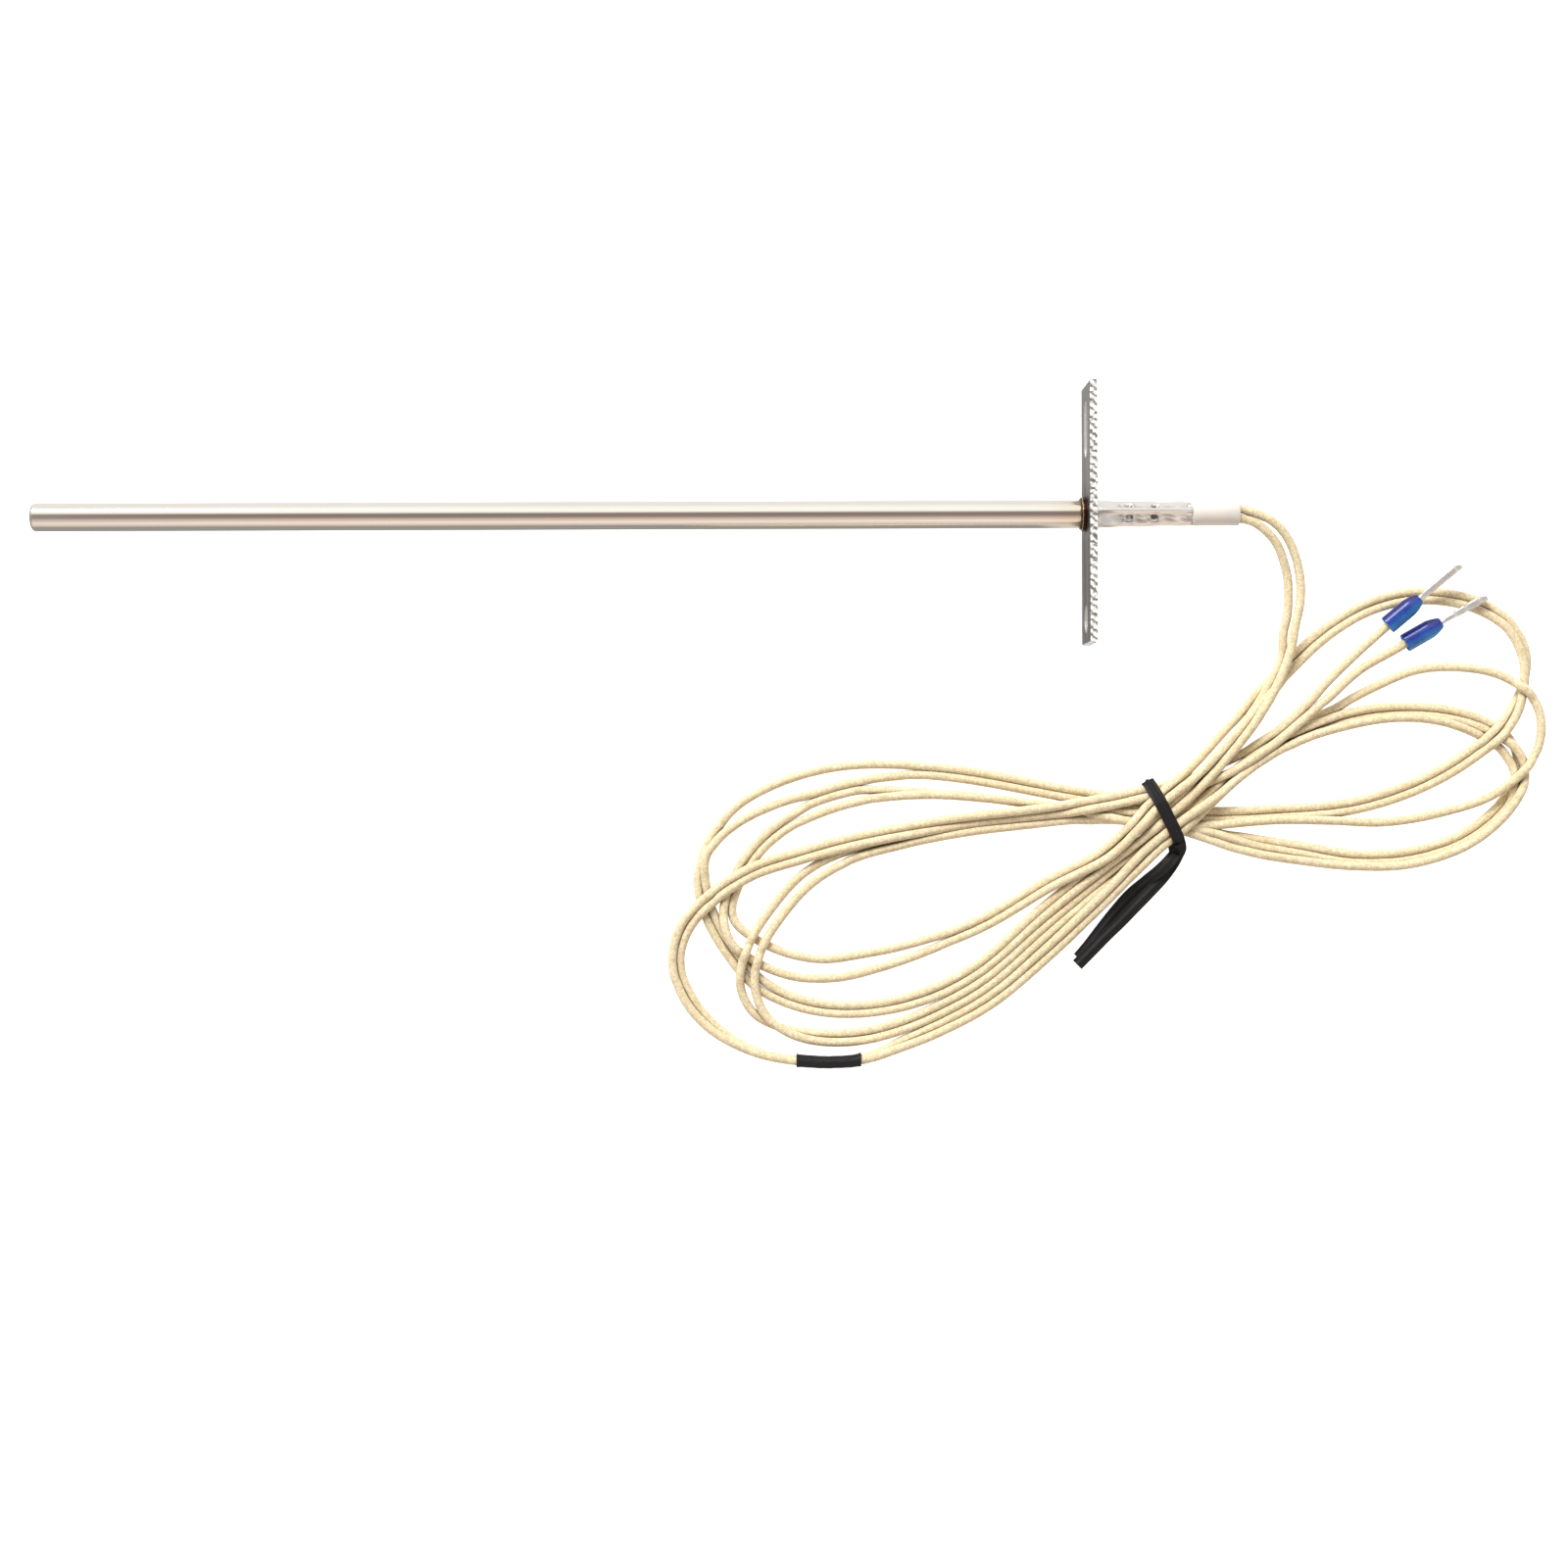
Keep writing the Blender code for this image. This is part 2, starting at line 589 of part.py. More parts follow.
def ferrule_point(number, along):
    """A point on a ferrule's axis."""
    rear, heading, climb = FERRULES[number - 1]
    level = math.cos(math.radians(climb))
    axis = Vector(
        (
            level * math.cos(math.radians(heading)),
            level * math.sin(math.radians(heading)),
            math.sin(math.radians(climb)),
        )
    )
    return Vector(rear) * MM + along * axis


def make_leads(finish):
    for number, route in enumerate(EXIT_ROUTES, 1):
        points = smooth([Vector(p) * MM for p in route], LEAD_STEP)
        tube(f"lead_exit_{number}", points, LEAD_RADIUS, finish)
    for number, route in enumerate(FERRULE_ROUTES, 1):
        ends = [ferrule_point(number, -0.5 * MM), ferrule_point(number, LEAD_IN_COLLAR)]
        points = smooth([*(Vector(p) * MM for p in route), *ends], LEAD_STEP)
        tube(f"lead_end_{number}", points, LEAD_RADIUS, finish)


def make_hank(finish):
    """The folded leads: one flat body, low where the ferrules cross it, and grooved for the tie."""
    outlines = [
        smooth([Vector((*p, 0)) * MM for p in outline], HANK_SPACING, closed=True)
        for outline in (HANK_OUTLINE, *HANK_OPENINGS)
    ]
    hank = extruded("lead_hank", outlines, 0, HANK_HEIGHT, finish)
    tall = Vector((0, 0, 3 * HANK_HEIGHT))
    above_shoulder = SHOULDER_CENTRE + tall / 2 + Vector((0, 0, SHOULDER_HEIGHT))
    cut(hank, box("shoulder_cutter", SHOULDER_SIZE + tall, above_shoulder, finish))
    bay = Vector((MARKER_LENGTH + 2 * GAP, 2 * MARKER_WIDTH + GAP, 0))
    bay_centre = MARKER_START + Vector((MARKER_LENGTH / 2, MARKER_BAY_START - MARKER_WIDTH / 2, 0))
    cut(hank, box("marker_cutter", bay + tall, bay_centre, finish))
    outside = Vector((TIE_WIDTH + 2 * GAP, 2 * WAIST_WIDTH, 0))
    inside = (
        TIE_WIDTH + 6 * GAP,
        WAIST_WIDTH - 2 * GAP,
        HANK_HEIGHT - 2 * (TIE_THICKNESS + GAP),
    )
    groove = box("tie_groove_cutter", outside + tall, WAIST, finish, WAIST_TURN)
    middle = WAIST + Vector((0, 0, HANK_HEIGHT / 2))
    cut(groove, box("tie_groove_core", inside, middle, finish, WAIST_TURN))
    cut(hank, groove)


def make_marker(finish):
    """A shrunk sleeve, oval because the two leads in it lie one on the other."""
    loops = []
    along = MARKER_START + Vector((0, 0, MARKER_HEIGHT / 2))
    for x, inset in ((0, 0), (MARKER_LENGTH, 0), (MARKER_LENGTH, MARKER_WALL), (0, MARKER_WALL)):
        half = MARKER_WIDTH / 2 - inset
        straight = (MARKER_HEIGHT - MARKER_WIDTH) / 2
        loop = []
        for side in (1, -1):
            for turn in steps(0, math.pi, 8):
                across = half * math.cos(turn) * side
                rise = side * (straight + half * math.sin(turn))
                loop.append(along + Vector((x, across, rise)))
        loops.append(loop)
    skin("marker_sleeve", loops, finish, closed=True)


def make_tie(finish):
    """One strip that comes in along a tail, goes round the waist and leaves along the other."""
    out = Matrix.Rotation(WAIST_TURN, 3, "Z") @ Vector((0, -1, 0))
    low = TIE_THICKNESS / 2 + TIE_LIFT
    above = low + TIE_THICKNESS + GAP
    high = HANK_HEIGHT + GAP
    tails = [
        [Vector((*p, height / MM)) * MM for p in tail]
        for tail, height in zip(TIE_TAILS, (above, low), strict=True)
    ]
    half = WAIST_WIDTH / 2 + TIE_THICKNESS / 2 + GAP
    reach = half - TIE_CORNER
    corners = (
        (reach, high - TIE_CORNER, 0),
        (-reach, high - TIE_CORNER, 90),
        (-reach, low + TIE_CORNER, 180),
    )
    around = [(half, above + TIE_CORNER)]
    for across, rise, start in corners:
        for turn in (start, start + 45, start + 90):
            lean = math.radians(turn)
            point = (across + TIE_CORNER * math.cos(lean), rise + TIE_CORNER * math.sin(lean))
            around.append(point)
    around += [(share * reach, low) for share in (-0.8, -0.4, 0.4, 1)]
    loop = [WAIST + out * across + Vector((0, 0, rise)) for across, rise in around]
    path = smooth([*reversed(tails[0]), *loop, *tails[1]], TIE_STEP)
    ribbon("twist_tie", path, TIE_WIDTH, TIE_THICKNESS, finish)


def main():
    clear_scene()
    steel = material("stainless_steel", (0.62, 0.58, 0.53), 0.28, 1)
    plate = material("sheared_steel", (0.45, 0.44, 0.42), 0.4, 1)
    weld = material("tinted_weld", (0.22, 0.14, 0.09), 0.4, 1)
    ceramic = material("alumina", (0.85, 0.82, 0.74), 0.6)
    cement = material("cement", (0.72, 0.7, 0.64), 0.9)
    magnesia = material("magnesia", (0.88, 0.87, 0.84), 0.95)
    alloys = {
        "positive": material("positive_alloy", (0.5, 0.49, 0.47), 0.35, 1),
        "negative": material("negative_alloy", (0.42, 0.42, 0.43), 0.4, 1),
    }
    tin = material("tinned_copper", (0.7, 0.69, 0.66), 0.35, 1)
    white = material("white_sleeve", (0.84, 0.81, 0.76), 0.45)
    braid = material("fibreglass_braid", (0.83, 0.72, 0.45), 0.85)
    blue = material("blue_plastic", (0.02, 0.1, 0.5), 0.3)
    black = material("black_plastic", (0.02, 0.02, 0.022), 0.5)

    make_sheath(steel)
    make_tip_cap(steel)
    make_flange(plate)
    make_weld(weld)
    make_sleeve(white)
    make_insulation(ceramic, cement, magnesia)
    make_junction(weld)
    for side, pole, splice_x in ((1, "positive", SPLICE_X[0]), (-1, "negative", SPLICE_X[1])):
        make_element(side, pole, splice_x, alloys[pole], tin, white, braid)
    make_leads(braid)
    for number in (1, 2):
        make_ferrule(number, blue, tin, tin)
    make_hank(braid)
    make_marker(black)
    make_tie(black)


main()
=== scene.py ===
"""The thermocouple's looks: detailed pieces, materials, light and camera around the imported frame.

Lengths are in millimetres up to the last step, where piece() turns them into metres. The
floor, the lamp and the camera are placed in metres.
"""

import math

import bmesh
import bpy
import numpy as np
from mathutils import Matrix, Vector, geometry, noise


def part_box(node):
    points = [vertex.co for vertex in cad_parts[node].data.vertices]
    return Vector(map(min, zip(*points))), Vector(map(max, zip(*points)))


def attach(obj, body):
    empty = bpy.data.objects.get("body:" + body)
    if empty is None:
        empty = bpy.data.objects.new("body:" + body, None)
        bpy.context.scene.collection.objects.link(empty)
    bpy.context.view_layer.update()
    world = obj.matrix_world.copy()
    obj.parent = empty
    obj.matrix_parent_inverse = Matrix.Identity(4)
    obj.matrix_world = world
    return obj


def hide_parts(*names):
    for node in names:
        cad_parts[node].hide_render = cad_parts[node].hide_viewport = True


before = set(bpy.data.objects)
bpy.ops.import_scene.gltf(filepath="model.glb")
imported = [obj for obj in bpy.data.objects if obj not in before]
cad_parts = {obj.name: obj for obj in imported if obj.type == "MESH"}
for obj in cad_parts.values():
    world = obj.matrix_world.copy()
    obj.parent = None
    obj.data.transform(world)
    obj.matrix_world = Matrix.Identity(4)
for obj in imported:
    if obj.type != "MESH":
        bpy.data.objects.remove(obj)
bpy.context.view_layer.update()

MM = 0.001


def span(node):
    """A CAD node's lowest and highest corners, in mm."""
    low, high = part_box(node)
    return np.array(low) / MM, np.array(high) / MM


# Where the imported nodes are.
PLATE_LOW, PLATE_HIGH = span("flange_plate")
FRONT_X = PLATE_LOW[0]
BACK_X = PLATE_HIGH[0]
AXIS_Z = (PLATE_LOW[2] + PLATE_HIGH[2]) / 2
TIP_X = span("tip_cap")[0][0]
TUBE_LOW, TUBE_HIGH = span("sheath_tube")
TAIL_X = TUBE_HIGH[0]
SHEATH_RADIUS = (TUBE_HIGH[1] - TUBE_LOW[1]) / 2
MOUTH_X = span("insulating_sleeve")[1][0]

# The camera looks straight down on the middle of the view.
CAMERA_PLACE = (0.02492, -0.04537, 0.43635)
CAMERA_TURN = math.radians(-0.182)
CAMERA_ANGLE = math.radians(34.2)

# The studio: light by its lean from overhead, in degrees, with + away from the hank. Each
# end is dimmer, and a small bright box makes the stripe along the collars.
BANDS = (
    (-110, (0.45, 0.42, 0.40)), (-90, (0.53, 0.45, 0.39)), (-80, (0.78, 0.67, 0.58)),
    (-70, (0.93, 0.80, 0.69)), (-58, (1.12, 0.95, 0.83)), (-50, (1.03, 0.88, 0.78)),
    (-44, (0.84, 0.72, 0.63)), (-30, (0.72, 0.60, 0.54)), (-20, (0.45, 0.37, 0.33)),
    (-12, (0.34, 0.265, 0.24)), (3, (0.275, 0.215, 0.19)), (12, (0.29, 0.24, 0.22)),
    (20, (0.62, 0.56, 0.53)), (27, (1.16, 1.13, 1.08)), (40, (1.19, 1.20, 1.15)),
    (65, (1.13, 1.14, 1.08)), (85, (1.04, 1.03, 0.97)), (110, (1.0, 0.98, 0.95)),
)
END_LIGHT = (0.60, 0.59, 0.58)
GLINT_WAY = (-0.465, 0.73, 0.50)
GLINT_LIGHT = (9.0, 9.0, 9.4)
HORIZON_LIGHT = (0.86, 0.86, 0.86)
LAMP_PLACE = (-0.15, 0.55, 0.55)
LAMP_SIZE = (0.35, 0.25)
LAMP_WATTS = 6.6
LAMP_AIM = (0.03, -0.04, 0.0)

# The floor, with a grey painted shadow on it that only polished metal sees.
FLOOR_HALF = 4.0
FLOOR_GLOW = 1.05
FLOOR_IN_METAL = (0.98, 0.96, 0.94)
REFLECTED_SHADOW_GREY = (0.36, 0.345, 0.33)
REFLECTED_SHADOW_SPAN = 20.0
PLATE_SHADE = 8.0

# The leads, fibreglass-braided wires.
LEAD_RADIUS = 0.775
BRAID_SIDES = 20
BRAID_STEP = 0.262
BRAID_RELIEF = 0.028
CREASE_REACH = 0.9
FILAMENTS = 4

# How the leads are let down onto the floor and onto each other. Counts are of points,
# which are SETTLE_STEP apart.
SETTLE_STEP = 0.75
SETTLE_ROUNDS = 420
NEAREST = 1.5
REACH = 2.9
PLAN_PULL = 0.12
LEEWAY = 0.5
FALL = 0.02
CLINGING = 0.2
HELD_AT_EXIT = 36
HELD_AT_END = 30
FIXED_AT_EXIT = 8
FIXED_AT_END = 6
IN_FERRULE = 14
NEIGHBOURS = 5
PAIR_BLOCK = 600
BLUR = 6
TIE_BLUR = 4
LEVEL_RISE = 1.4
FLOOR_LEVEL = 0.8

# The tie round the hank, and the marker sleeve on one lobe.
WAIST = np.array((89.4, -50.1))
WAIST_OUT = np.array((0.451, -0.893))
WAIST_ALONG = np.array((0.893, 0.451))
WAIST_HALF = 4.4
TIE_WIDTH = 2.15
TIE_THICKNESS = 0.7
MARKER_START = (26.9, -92.5)
MARKER_LENGTH = 11.0

# The tie's two tails, from the twist outwards: place, and the direction of its width.
TIE_FRONT = (
    (92.35, -56.3, 3.0, 0.9, -0.1, -0.35), (92.0, -57.7, 1.75, 0.8, -0.5, -0.3),
    (91.0, -59.5, 1.25, 0.78, -0.6, 0.1), (89.5, -61.5, 1.3, 0.78, -0.63, 0.2),
    (87.2, -64.0, 1.2, 0.74, -0.67, 0.15), (84.3, -67.0, 1.0, 0.74, -0.67, 0.05),
    (82.2, -69.2, 0.8, 0.73, -0.68, 0), (80.0, -71.3, 0.75, 0.72, -0.69, 0),
    (77.6, -73.7, 0.95, 0.7, -0.71, 0), (74.9, -76.4, 1.1, 0.7, -0.71, 0),
)
TIE_REAR = (
    (91.6, -56.0, 0.5, 0.85, 0.3, 0.3), (91.6, -57.2, 1.5, 0.8, -0.2, 0.5),
    (90.6, -58.5, 2.6, 0.7, -0.6, 0.35), (88.9, -60.3, 2.2, 0.7, -0.66, 0.1),
    (86.6, -62.3, 1.1, 0.72, -0.68, -0.1), (84.0, -64.6, 0.5, 0.72, -0.68, 0),
    (81.7, -67.2, 0.42, 0.74, -0.67, 0), (80.0, -69.3, 0.42, 0.74, -0.67, 0),
    (78.3, -71.5, 0.42, 0.73, -0.68, 0), (76.9, -73.3, 0.42, 0.72, -0.69, 0),
    (75.2, -75.3, 0.42, 0.7, -0.71, 0),
)

# The route of each lead from above, in the order it runs: x, y and how high it rides.
# Each line of rows is one lobe or one passage through the tie.
EXIT_1 = (
    (97.3, 0.85, 6.35), (101.8, 0.85, 6.35), (104.6, 0.3, 6.3), (107.4, -1.0, 5.9),
    (109.7, -3.1, 5.2), (111.3, -5.9, 4.2), (112.3, -9.0, 3.1), (112.7, -12.3, 2.3),
    (112.5, -15.5, 2.0), (111.8, -18.7, 2.0),
)
EXIT_2 = (
    (97.3, -0.85, 6.35), (101.8, -0.85, 6.35), (104.4, -1.5, 6.3), (106.7, -3.0, 5.8),
    (108.6, -5.2, 4.9), (109.8, -7.9, 3.7), (110.6, -10.9, 2.3), (110.8, -14.2, 1.1),
    (110.6, -17.2, 0.85), (110.0, -20.0, 0.85),
)
LEAD_1 = (
    (
        (111, -23, 1), (109.1, -28, 2), (106.2, -33.2, 2.6), (102, -39.3, 3),
        (96.4, -45.6, 3),
    ),
    ((90.1, -51.5, 3),),
    (
        (84.4, -56.2, 2.5), (79.4, -59.9, 2), (70, -67.6, 1.5), (58.5, -77.5, 0.6),
        (50, -82, 0), (40.5, -84.3, 0), (32, -84.4, 0), (25, -82.8, 0), (19.8, -80.2, 0),
        (15.6, -75.4, 0), (12, -69.4, 0), (10.2, -63, 0), (11.6, -56.2, 0),
        (16.6, -49.4, 0), (24.5, -45, 0), (34, -42.5, 0), (44, -42.1, 0), (54.5, -43.2, 0),
        (64, -45, 0), (72.5, -46.7, 0), (80.5, -48, 0),
    ),
    ((88.6, -49.4, 0),),
    (
        (97.5, -50.4, 0), (109, -50, 0.5), (122.5, -48.7, 1), (133.3, -45.3, 1.5),
        (141.5, -40.4, 1.6), (147.6, -35, 1.6), (151.2, -28.8, 0.5), (151.7, -23.4, 0.5),
        (149.2, -18.4, 0.4), (144.6, -14.8, 0), (138.8, -13.1, 0), (132, -12.8, 0),
        (125, -14.5, 0), (118.2, -18.6, 0.5), (111.6, -24.2, 1), (106.4, -29.6, 2),
        (99.5, -37.2, 3), (94, -43, 3),
    ),
    ((88.2, -47.8, 3),),
    (
        (79.6, -56.5, 2.5), (69.9, -61.9, 1), (58.3, -68.6, 0), (45.7, -72.9, 0),
        (38.5, -74.4, 0), (31.5, -75.3, 0), (25.2, -74.2, 0), (19.6, -71.6, 0),
        (16.3, -68.6, 0), (16.2, -64.6, 0), (19.3, -58.6, 0), (24.6, -53.7, 0),
        (31.5, -50.3, 0), (40, -48, 0.6), (50, -47.3, 0.6), (60, -48, 0.6),
        (70, -49.2, 0.6), (80, -50.2, 0.6),
    ),
    ((89.6, -51.6, 1),),
    (
        (97, -54.6, 1), (104.5, -55.3, 0.5), (113.2, -56.6, 0.3), (122.5, -57.9, 0),
        (132, -57.4, 0), (140.8, -54.6, 0), (147.3, -49.4, 0), (150.4, -43.6, 0),
        (149.3, -38.8, 0), (144.8, -35.2, 0), (138, -33, 0), (130, -32.5, 0),
        (122.6, -33.2, 0.6), (115.2, -35.6, 1), (107.5, -39.4, 1), (101, -44.2, 1.3),
    ),
    ((91.2, -53.6, 2),),
    (
        (85.6, -58.6, 2), (79.4, -63.2, 1.4), (70, -71, 1.2), (58.3, -81.2, 1),
        (46, -87, 1), (38.5, -89.2, 1), (31.5, -89.4, 1), (25.6, -87.8, 1),
        (21.4, -84.4, 1.6), (19.8, -79.4, 1.8), (21, -73.6, 1.8), (24.6, -67.8, 1.5),
        (29.6, -62.4, 1), (36.5, -58.4, 1), (46, -55.5, 1), (56, -53.3, 1.2),
        (66.5, -52.2, 1.4), (77, -51.4, 1.4),
    ),
    ((89.8, -52.4, 0),),
    (
        (97, -55.2, 0), (104.5, -56.8, 0), (113.2, -58.5, 0), (122.5, -59.6, 0),
        (131.8, -59.3, 0), (141.6, -56, 0), (148.6, -49.8, 0), (151.2, -43.6, 0.8),
        (149.4, -39.4, 0), (143.6, -36, 0), (137, -34.3, 0), (129, -34, 0),
        (121.5, -35, 0.3), (113, -37.8, 0.5), (104.5, -42.4, 2), (98.5, -47.6, 2.6),
    ),
    ((91.6, -54.3, 3),),
    (
        (86.6, -58.8, 3), (79.4, -65.9, 2), (70, -75, 1), (60.5, -83, 0.4),
        (52.5, -87.2, 0), (45, -90.2, 0), (37.5, -92.5, 0.7), (27.5, -92.6, 1),
        (19.6, -91, 0), (12.6, -87.4, 0), (8, -82.4, 0), (5.8, -76.2, 0), (7, -69.8, 1),
        (12, -64.2, 2), (19, -59.8, 1.6), (27.5, -57, 0.5), (35.5, -54.9, 0.5),
        (46, -53, 1), (57, -51.4, 1.4), (67, -50.1, 1.6), (77, -48.5, 2),
    ),
    ((87.2, -46.5, 2),),
    (
        (93.5, -44.9, 2), (100, -42, 2.2), (104.5, -39.6, 2.6), (109, -36.6, 3),
    ),
)
LEAD_2 = (
    (
        (109.8, -24, 1), (107.9, -28.4, 2), (105, -33.2, 2.6), (101, -38.7, 3),
        (95.4, -44.6, 3),
    ),
    ((89.4, -50.1, 3),),
    (
        (83.8, -54.6, 2.5), (79.4, -58.4, 2), (70, -66, 1.5), (58.5, -76.2, 0.3),
        (50, -80.5, 0), (41.5, -82.9, 0), (33, -83.2, 0), (26.2, -81.6, 0),
        (20.6, -78.2, 0), (16.9, -74.2, 0), (13.4, -68.6, 0.4), (11.6, -63, 0.4),
        (11.6, -57.6, 0.4), (16.2, -52.6, 0.3), (23.5, -48.9, 0), (31.5, -46.7, 0),
        (40, -44.6, 0.6), (49, -43.9, 0.6), (58, -44.7, 0.3), (68, -46.5, 0.3),
        (80, -48.8, 0),
    ),
    ((88.8, -50.4, 0),),
    (
        (97.2, -51.6, 0), (109, -51.3, 0.5), (122.5, -50, 1), (134, -46.2, 1.5),
        (142.5, -41.4, 1.6), (148.8, -35.8, 1.6), (151, -29.6, 1), (150.8, -23.6, 0.2),
        (148.2, -18.9, 0.2), (143, -15.9, 0), (137.6, -14.6, 0), (131.4, -14.6, 0),
        (125, -16.3, 0), (118.8, -19.6, 0.5), (112.6, -25, 1), (107.2, -30.8, 2),
        (100.5, -38.4, 3), (94.9, -44.2, 3),
    ),
    ((88.9, -49.2, 3),),
    (
        (80.6, -57.7, 2.5), (70.2, -63.2, 0.6), (58.8, -70, 0), (49, -74.2, 0),
        (42, -76.6, 0), (34, -78.5, 0), (26.6, -78.3, 0), (20.4, -76, 0),
        (15.9, -72.6, 0.3), (14.5, -67.4, 0.3), (16.4, -61.6, 0.3), (20.9, -54.8, 0.3),
        (27.5, -49.8, 0.3), (36, -46.6, 0.3), (45, -46.6, 0.3), (56, -47.5, 0.3),
        (67.5, -49, 0), (80, -51.2, 0),
    ),
    ((89.2, -53, 1),),
    (
        (96.6, -52.8, 1), (108.5, -51.8, 1.2), (118, -51.9, 1.3), (127.4, -52.2, 1.4),
        (137, -50.6, 1.4), (146, -47.4, 1.6), (152.2, -41.6, 1.8), (153.8, -36, 1),
        (152.4, -31.2, 1.8), (147.6, -27.5, 1.8), (141, -25.9, 0), (133.3, -26.2, 0),
        (125.3, -29.4, 0), (118.6, -33, 0.6), (111, -37.2, 1), (102.5, -42.9, 1.3),
    ),
    ((90.5, -52.3, 2),),
    (
        (84.8, -57.4, 2), (79.4, -61.6, 1.6), (70, -69.3, 1), (58.3, -79.3, 0.6),
        (46, -85.7, 0.4), (38.5, -87.6, 0.4), (31.5, -88, 0.4), (25, -87.2, 1),
        (19.6, -84.4, 1.6), (17.3, -79.4, 1.8), (18.8, -72.8, 1.8), (22.4, -67, 1.5),
        (28, -60.8, 1), (34.8, -57.1, 0.5), (46, -54.4, 0.2), (57, -52.5, 0.2),
        (68, -51.4, 0.2), (79, -51, 0.2),
    ),
    ((89.2, -52.2, 0),),
    (
        (96.4, -54, 0), (104.5, -56, 0.6), (113.2, -57.4, 0.6), (122.5, -58.9, 1),
        (132, -58.4, 1), (141.4, -55.2, 1), (148.2, -49.6, 1), (149.6, -44.4, 0.8),
        (147.6, -40.2, 0.8), (142.6, -36.8, 0.8), (136.2, -34.8, 0.8), (129, -34.4, 0.8),
        (121.5, -35.6, 0.8), (113.5, -38, 0.8), (105.4, -42, 2), (98.8, -47.4, 2.6),
    ),
    ((91, -53, 3),),
    (
        (86, -57.2, 3), (79.4, -64.2, 2), (70, -73.2, 1), (60.5, -81, 0.4),
        (52.5, -85.8, 0), (45, -89.4, 0), (37.5, -92.5, 0), (27.5, -92.6, 0),
        (19.6, -90.9, 0), (13, -86.6, 0.3), (9, -81.6, 0.3), (7.1, -76.2, 0.2),
        (8.6, -70.4, 1), (13.2, -65.2, 2), (19.5, -61, 1.6), (27.5, -58.4, 0.5),
        (35.5, -56.2, 0.5), (46, -54, 0.8), (57, -52.3, 1.2), (67, -51.1, 1.4),
        (77, -49.8, 2),
    ),
    ((87.6, -47.6, 2),),
    (
        (95, -46.2, 2), (102, -43.2, 2.2), (107, -40, 2.6), (112, -36, 2.8),
    ),
)
END_1 = (
    (113.3, -32.6, 4.2), (115.6, -30.2, 4.1), (118.0, -27.6, 3.8), (120.7, -25.0, 3.4),
    (123.4, -22.5, 3.0), (125.9, -20.3, 2.8), (128.7, -17.85, 2.88),
)
END_2 = (
    (118.2, -30.6, 3.9), (120.6, -28.3, 3.4), (123.3, -26.1, 2.7), (126.2, -24.4, 2.1),
    (129.0, -22.9, 1.8), (132.0, -21.05, 1.85),
)

# The ferrules: the rear end of each collar, its heading and its climb.
FERRULES = (
    ((127.7, -18.7, 2.75), math.radians(40.4), math.radians(8.0)),
    ((130.9, -21.7, 1.75), math.radians(30.0), math.radians(4.5)),
)
COLLAR_LENGTH = 7.0
COLLAR_RADIUS = 1.6
PIN_LENGTH = 8.7
PIN_RADIUS = 0.65
CRIMP_PITCH = 1.45
# How each pin's thickness changes along it: how far along, and the share of its radius.
PIN_STEPS = (
    (
        (0, 0.85), (0.12, 0.95), (0.5, 1.0), (0.8, 1.0), (0.86, 0.97), (0.88, 0.84),
        (0.9, 1.0), (0.96, 0.98), (1, 0.86),
    ),
    (
        (0, 0.66), (0.28, 0.7), (0.3, 0.62), (0.33, 0.92), (0.52, 0.96), (0.54, 0.7),
        (0.57, 0.7), (0.59, 1.06), (0.82, 1.08), (0.84, 0.78), (0.87, 0.78), (0.89, 1.0),
        (1, 1.0),
    ),
)

# The crimped tail.
TAIL_LENGTH = TAIL_X - BACK_X
TAIL_END_RADIUS = 2.08
TAIL_DENT = 0.86
TAIL_TWIST = math.radians(12)
FOLDING = 0.3
EASING = 0.28
EASED = 0.3
DIMPLES = (5.85, 10.25)
DIMPLE_DEPTH = 0.3
DIMPLE_HALF = 0.42
SHEATH_WALL = 0.45
FOLD_REACH = 0.9
HEAT_REACH = 12.0

# The flange.
SLOT_Y = 14.3
SLOT_LENGTH = 9.4
SLOT_WIDTH = 4.0
HOLE_Y = -17.7
HOLE_RADIUS = 2.3
WELD_WIDTH = 1.15
WELD_FILL = 0.62
SHEAR_PITCH = 1.3
SHEAR_DEPTH = 0.17
SHEAR_STEP = 0.085
TINT_REACH = 9.0
# How far through the plate each layer of its edges lies, as shares of its thickness.
LAYERS = np.array((0, 0.05, 0.17, 0.3, 0.44, 0.58, 0.72, 0.86, 0.98, 1.08, 1.15, 1.2)) / 1.2
# The finish of each edge and opening: the outline, the slot, the hole and the tube's.
ON_FACE, SHEARED_EDGE, PUNCHED_EDGE = 0, 1, 2
EDGE_KINDS = (SHEARED_EDGE, PUNCHED_EDGE, PUNCHED_EDGE, ON_FACE)


# ---------------------------------------------------------------- curves and meshes


def even(points, step):
    """The same line, cut into equal steps of about that length. Columns past the third go along."""
    lengths = np.linalg.norm(np.diff(points[:, :3], axis=0), axis=1)
    run = np.concatenate([[0], np.cumsum(lengths)])
    places = np.linspace(0, run[-1], max(2, round(run[-1] / step) + 1))
    return np.stack([np.interp(places, run, points[:, k]) for k in range(points.shape[1])], axis=1)


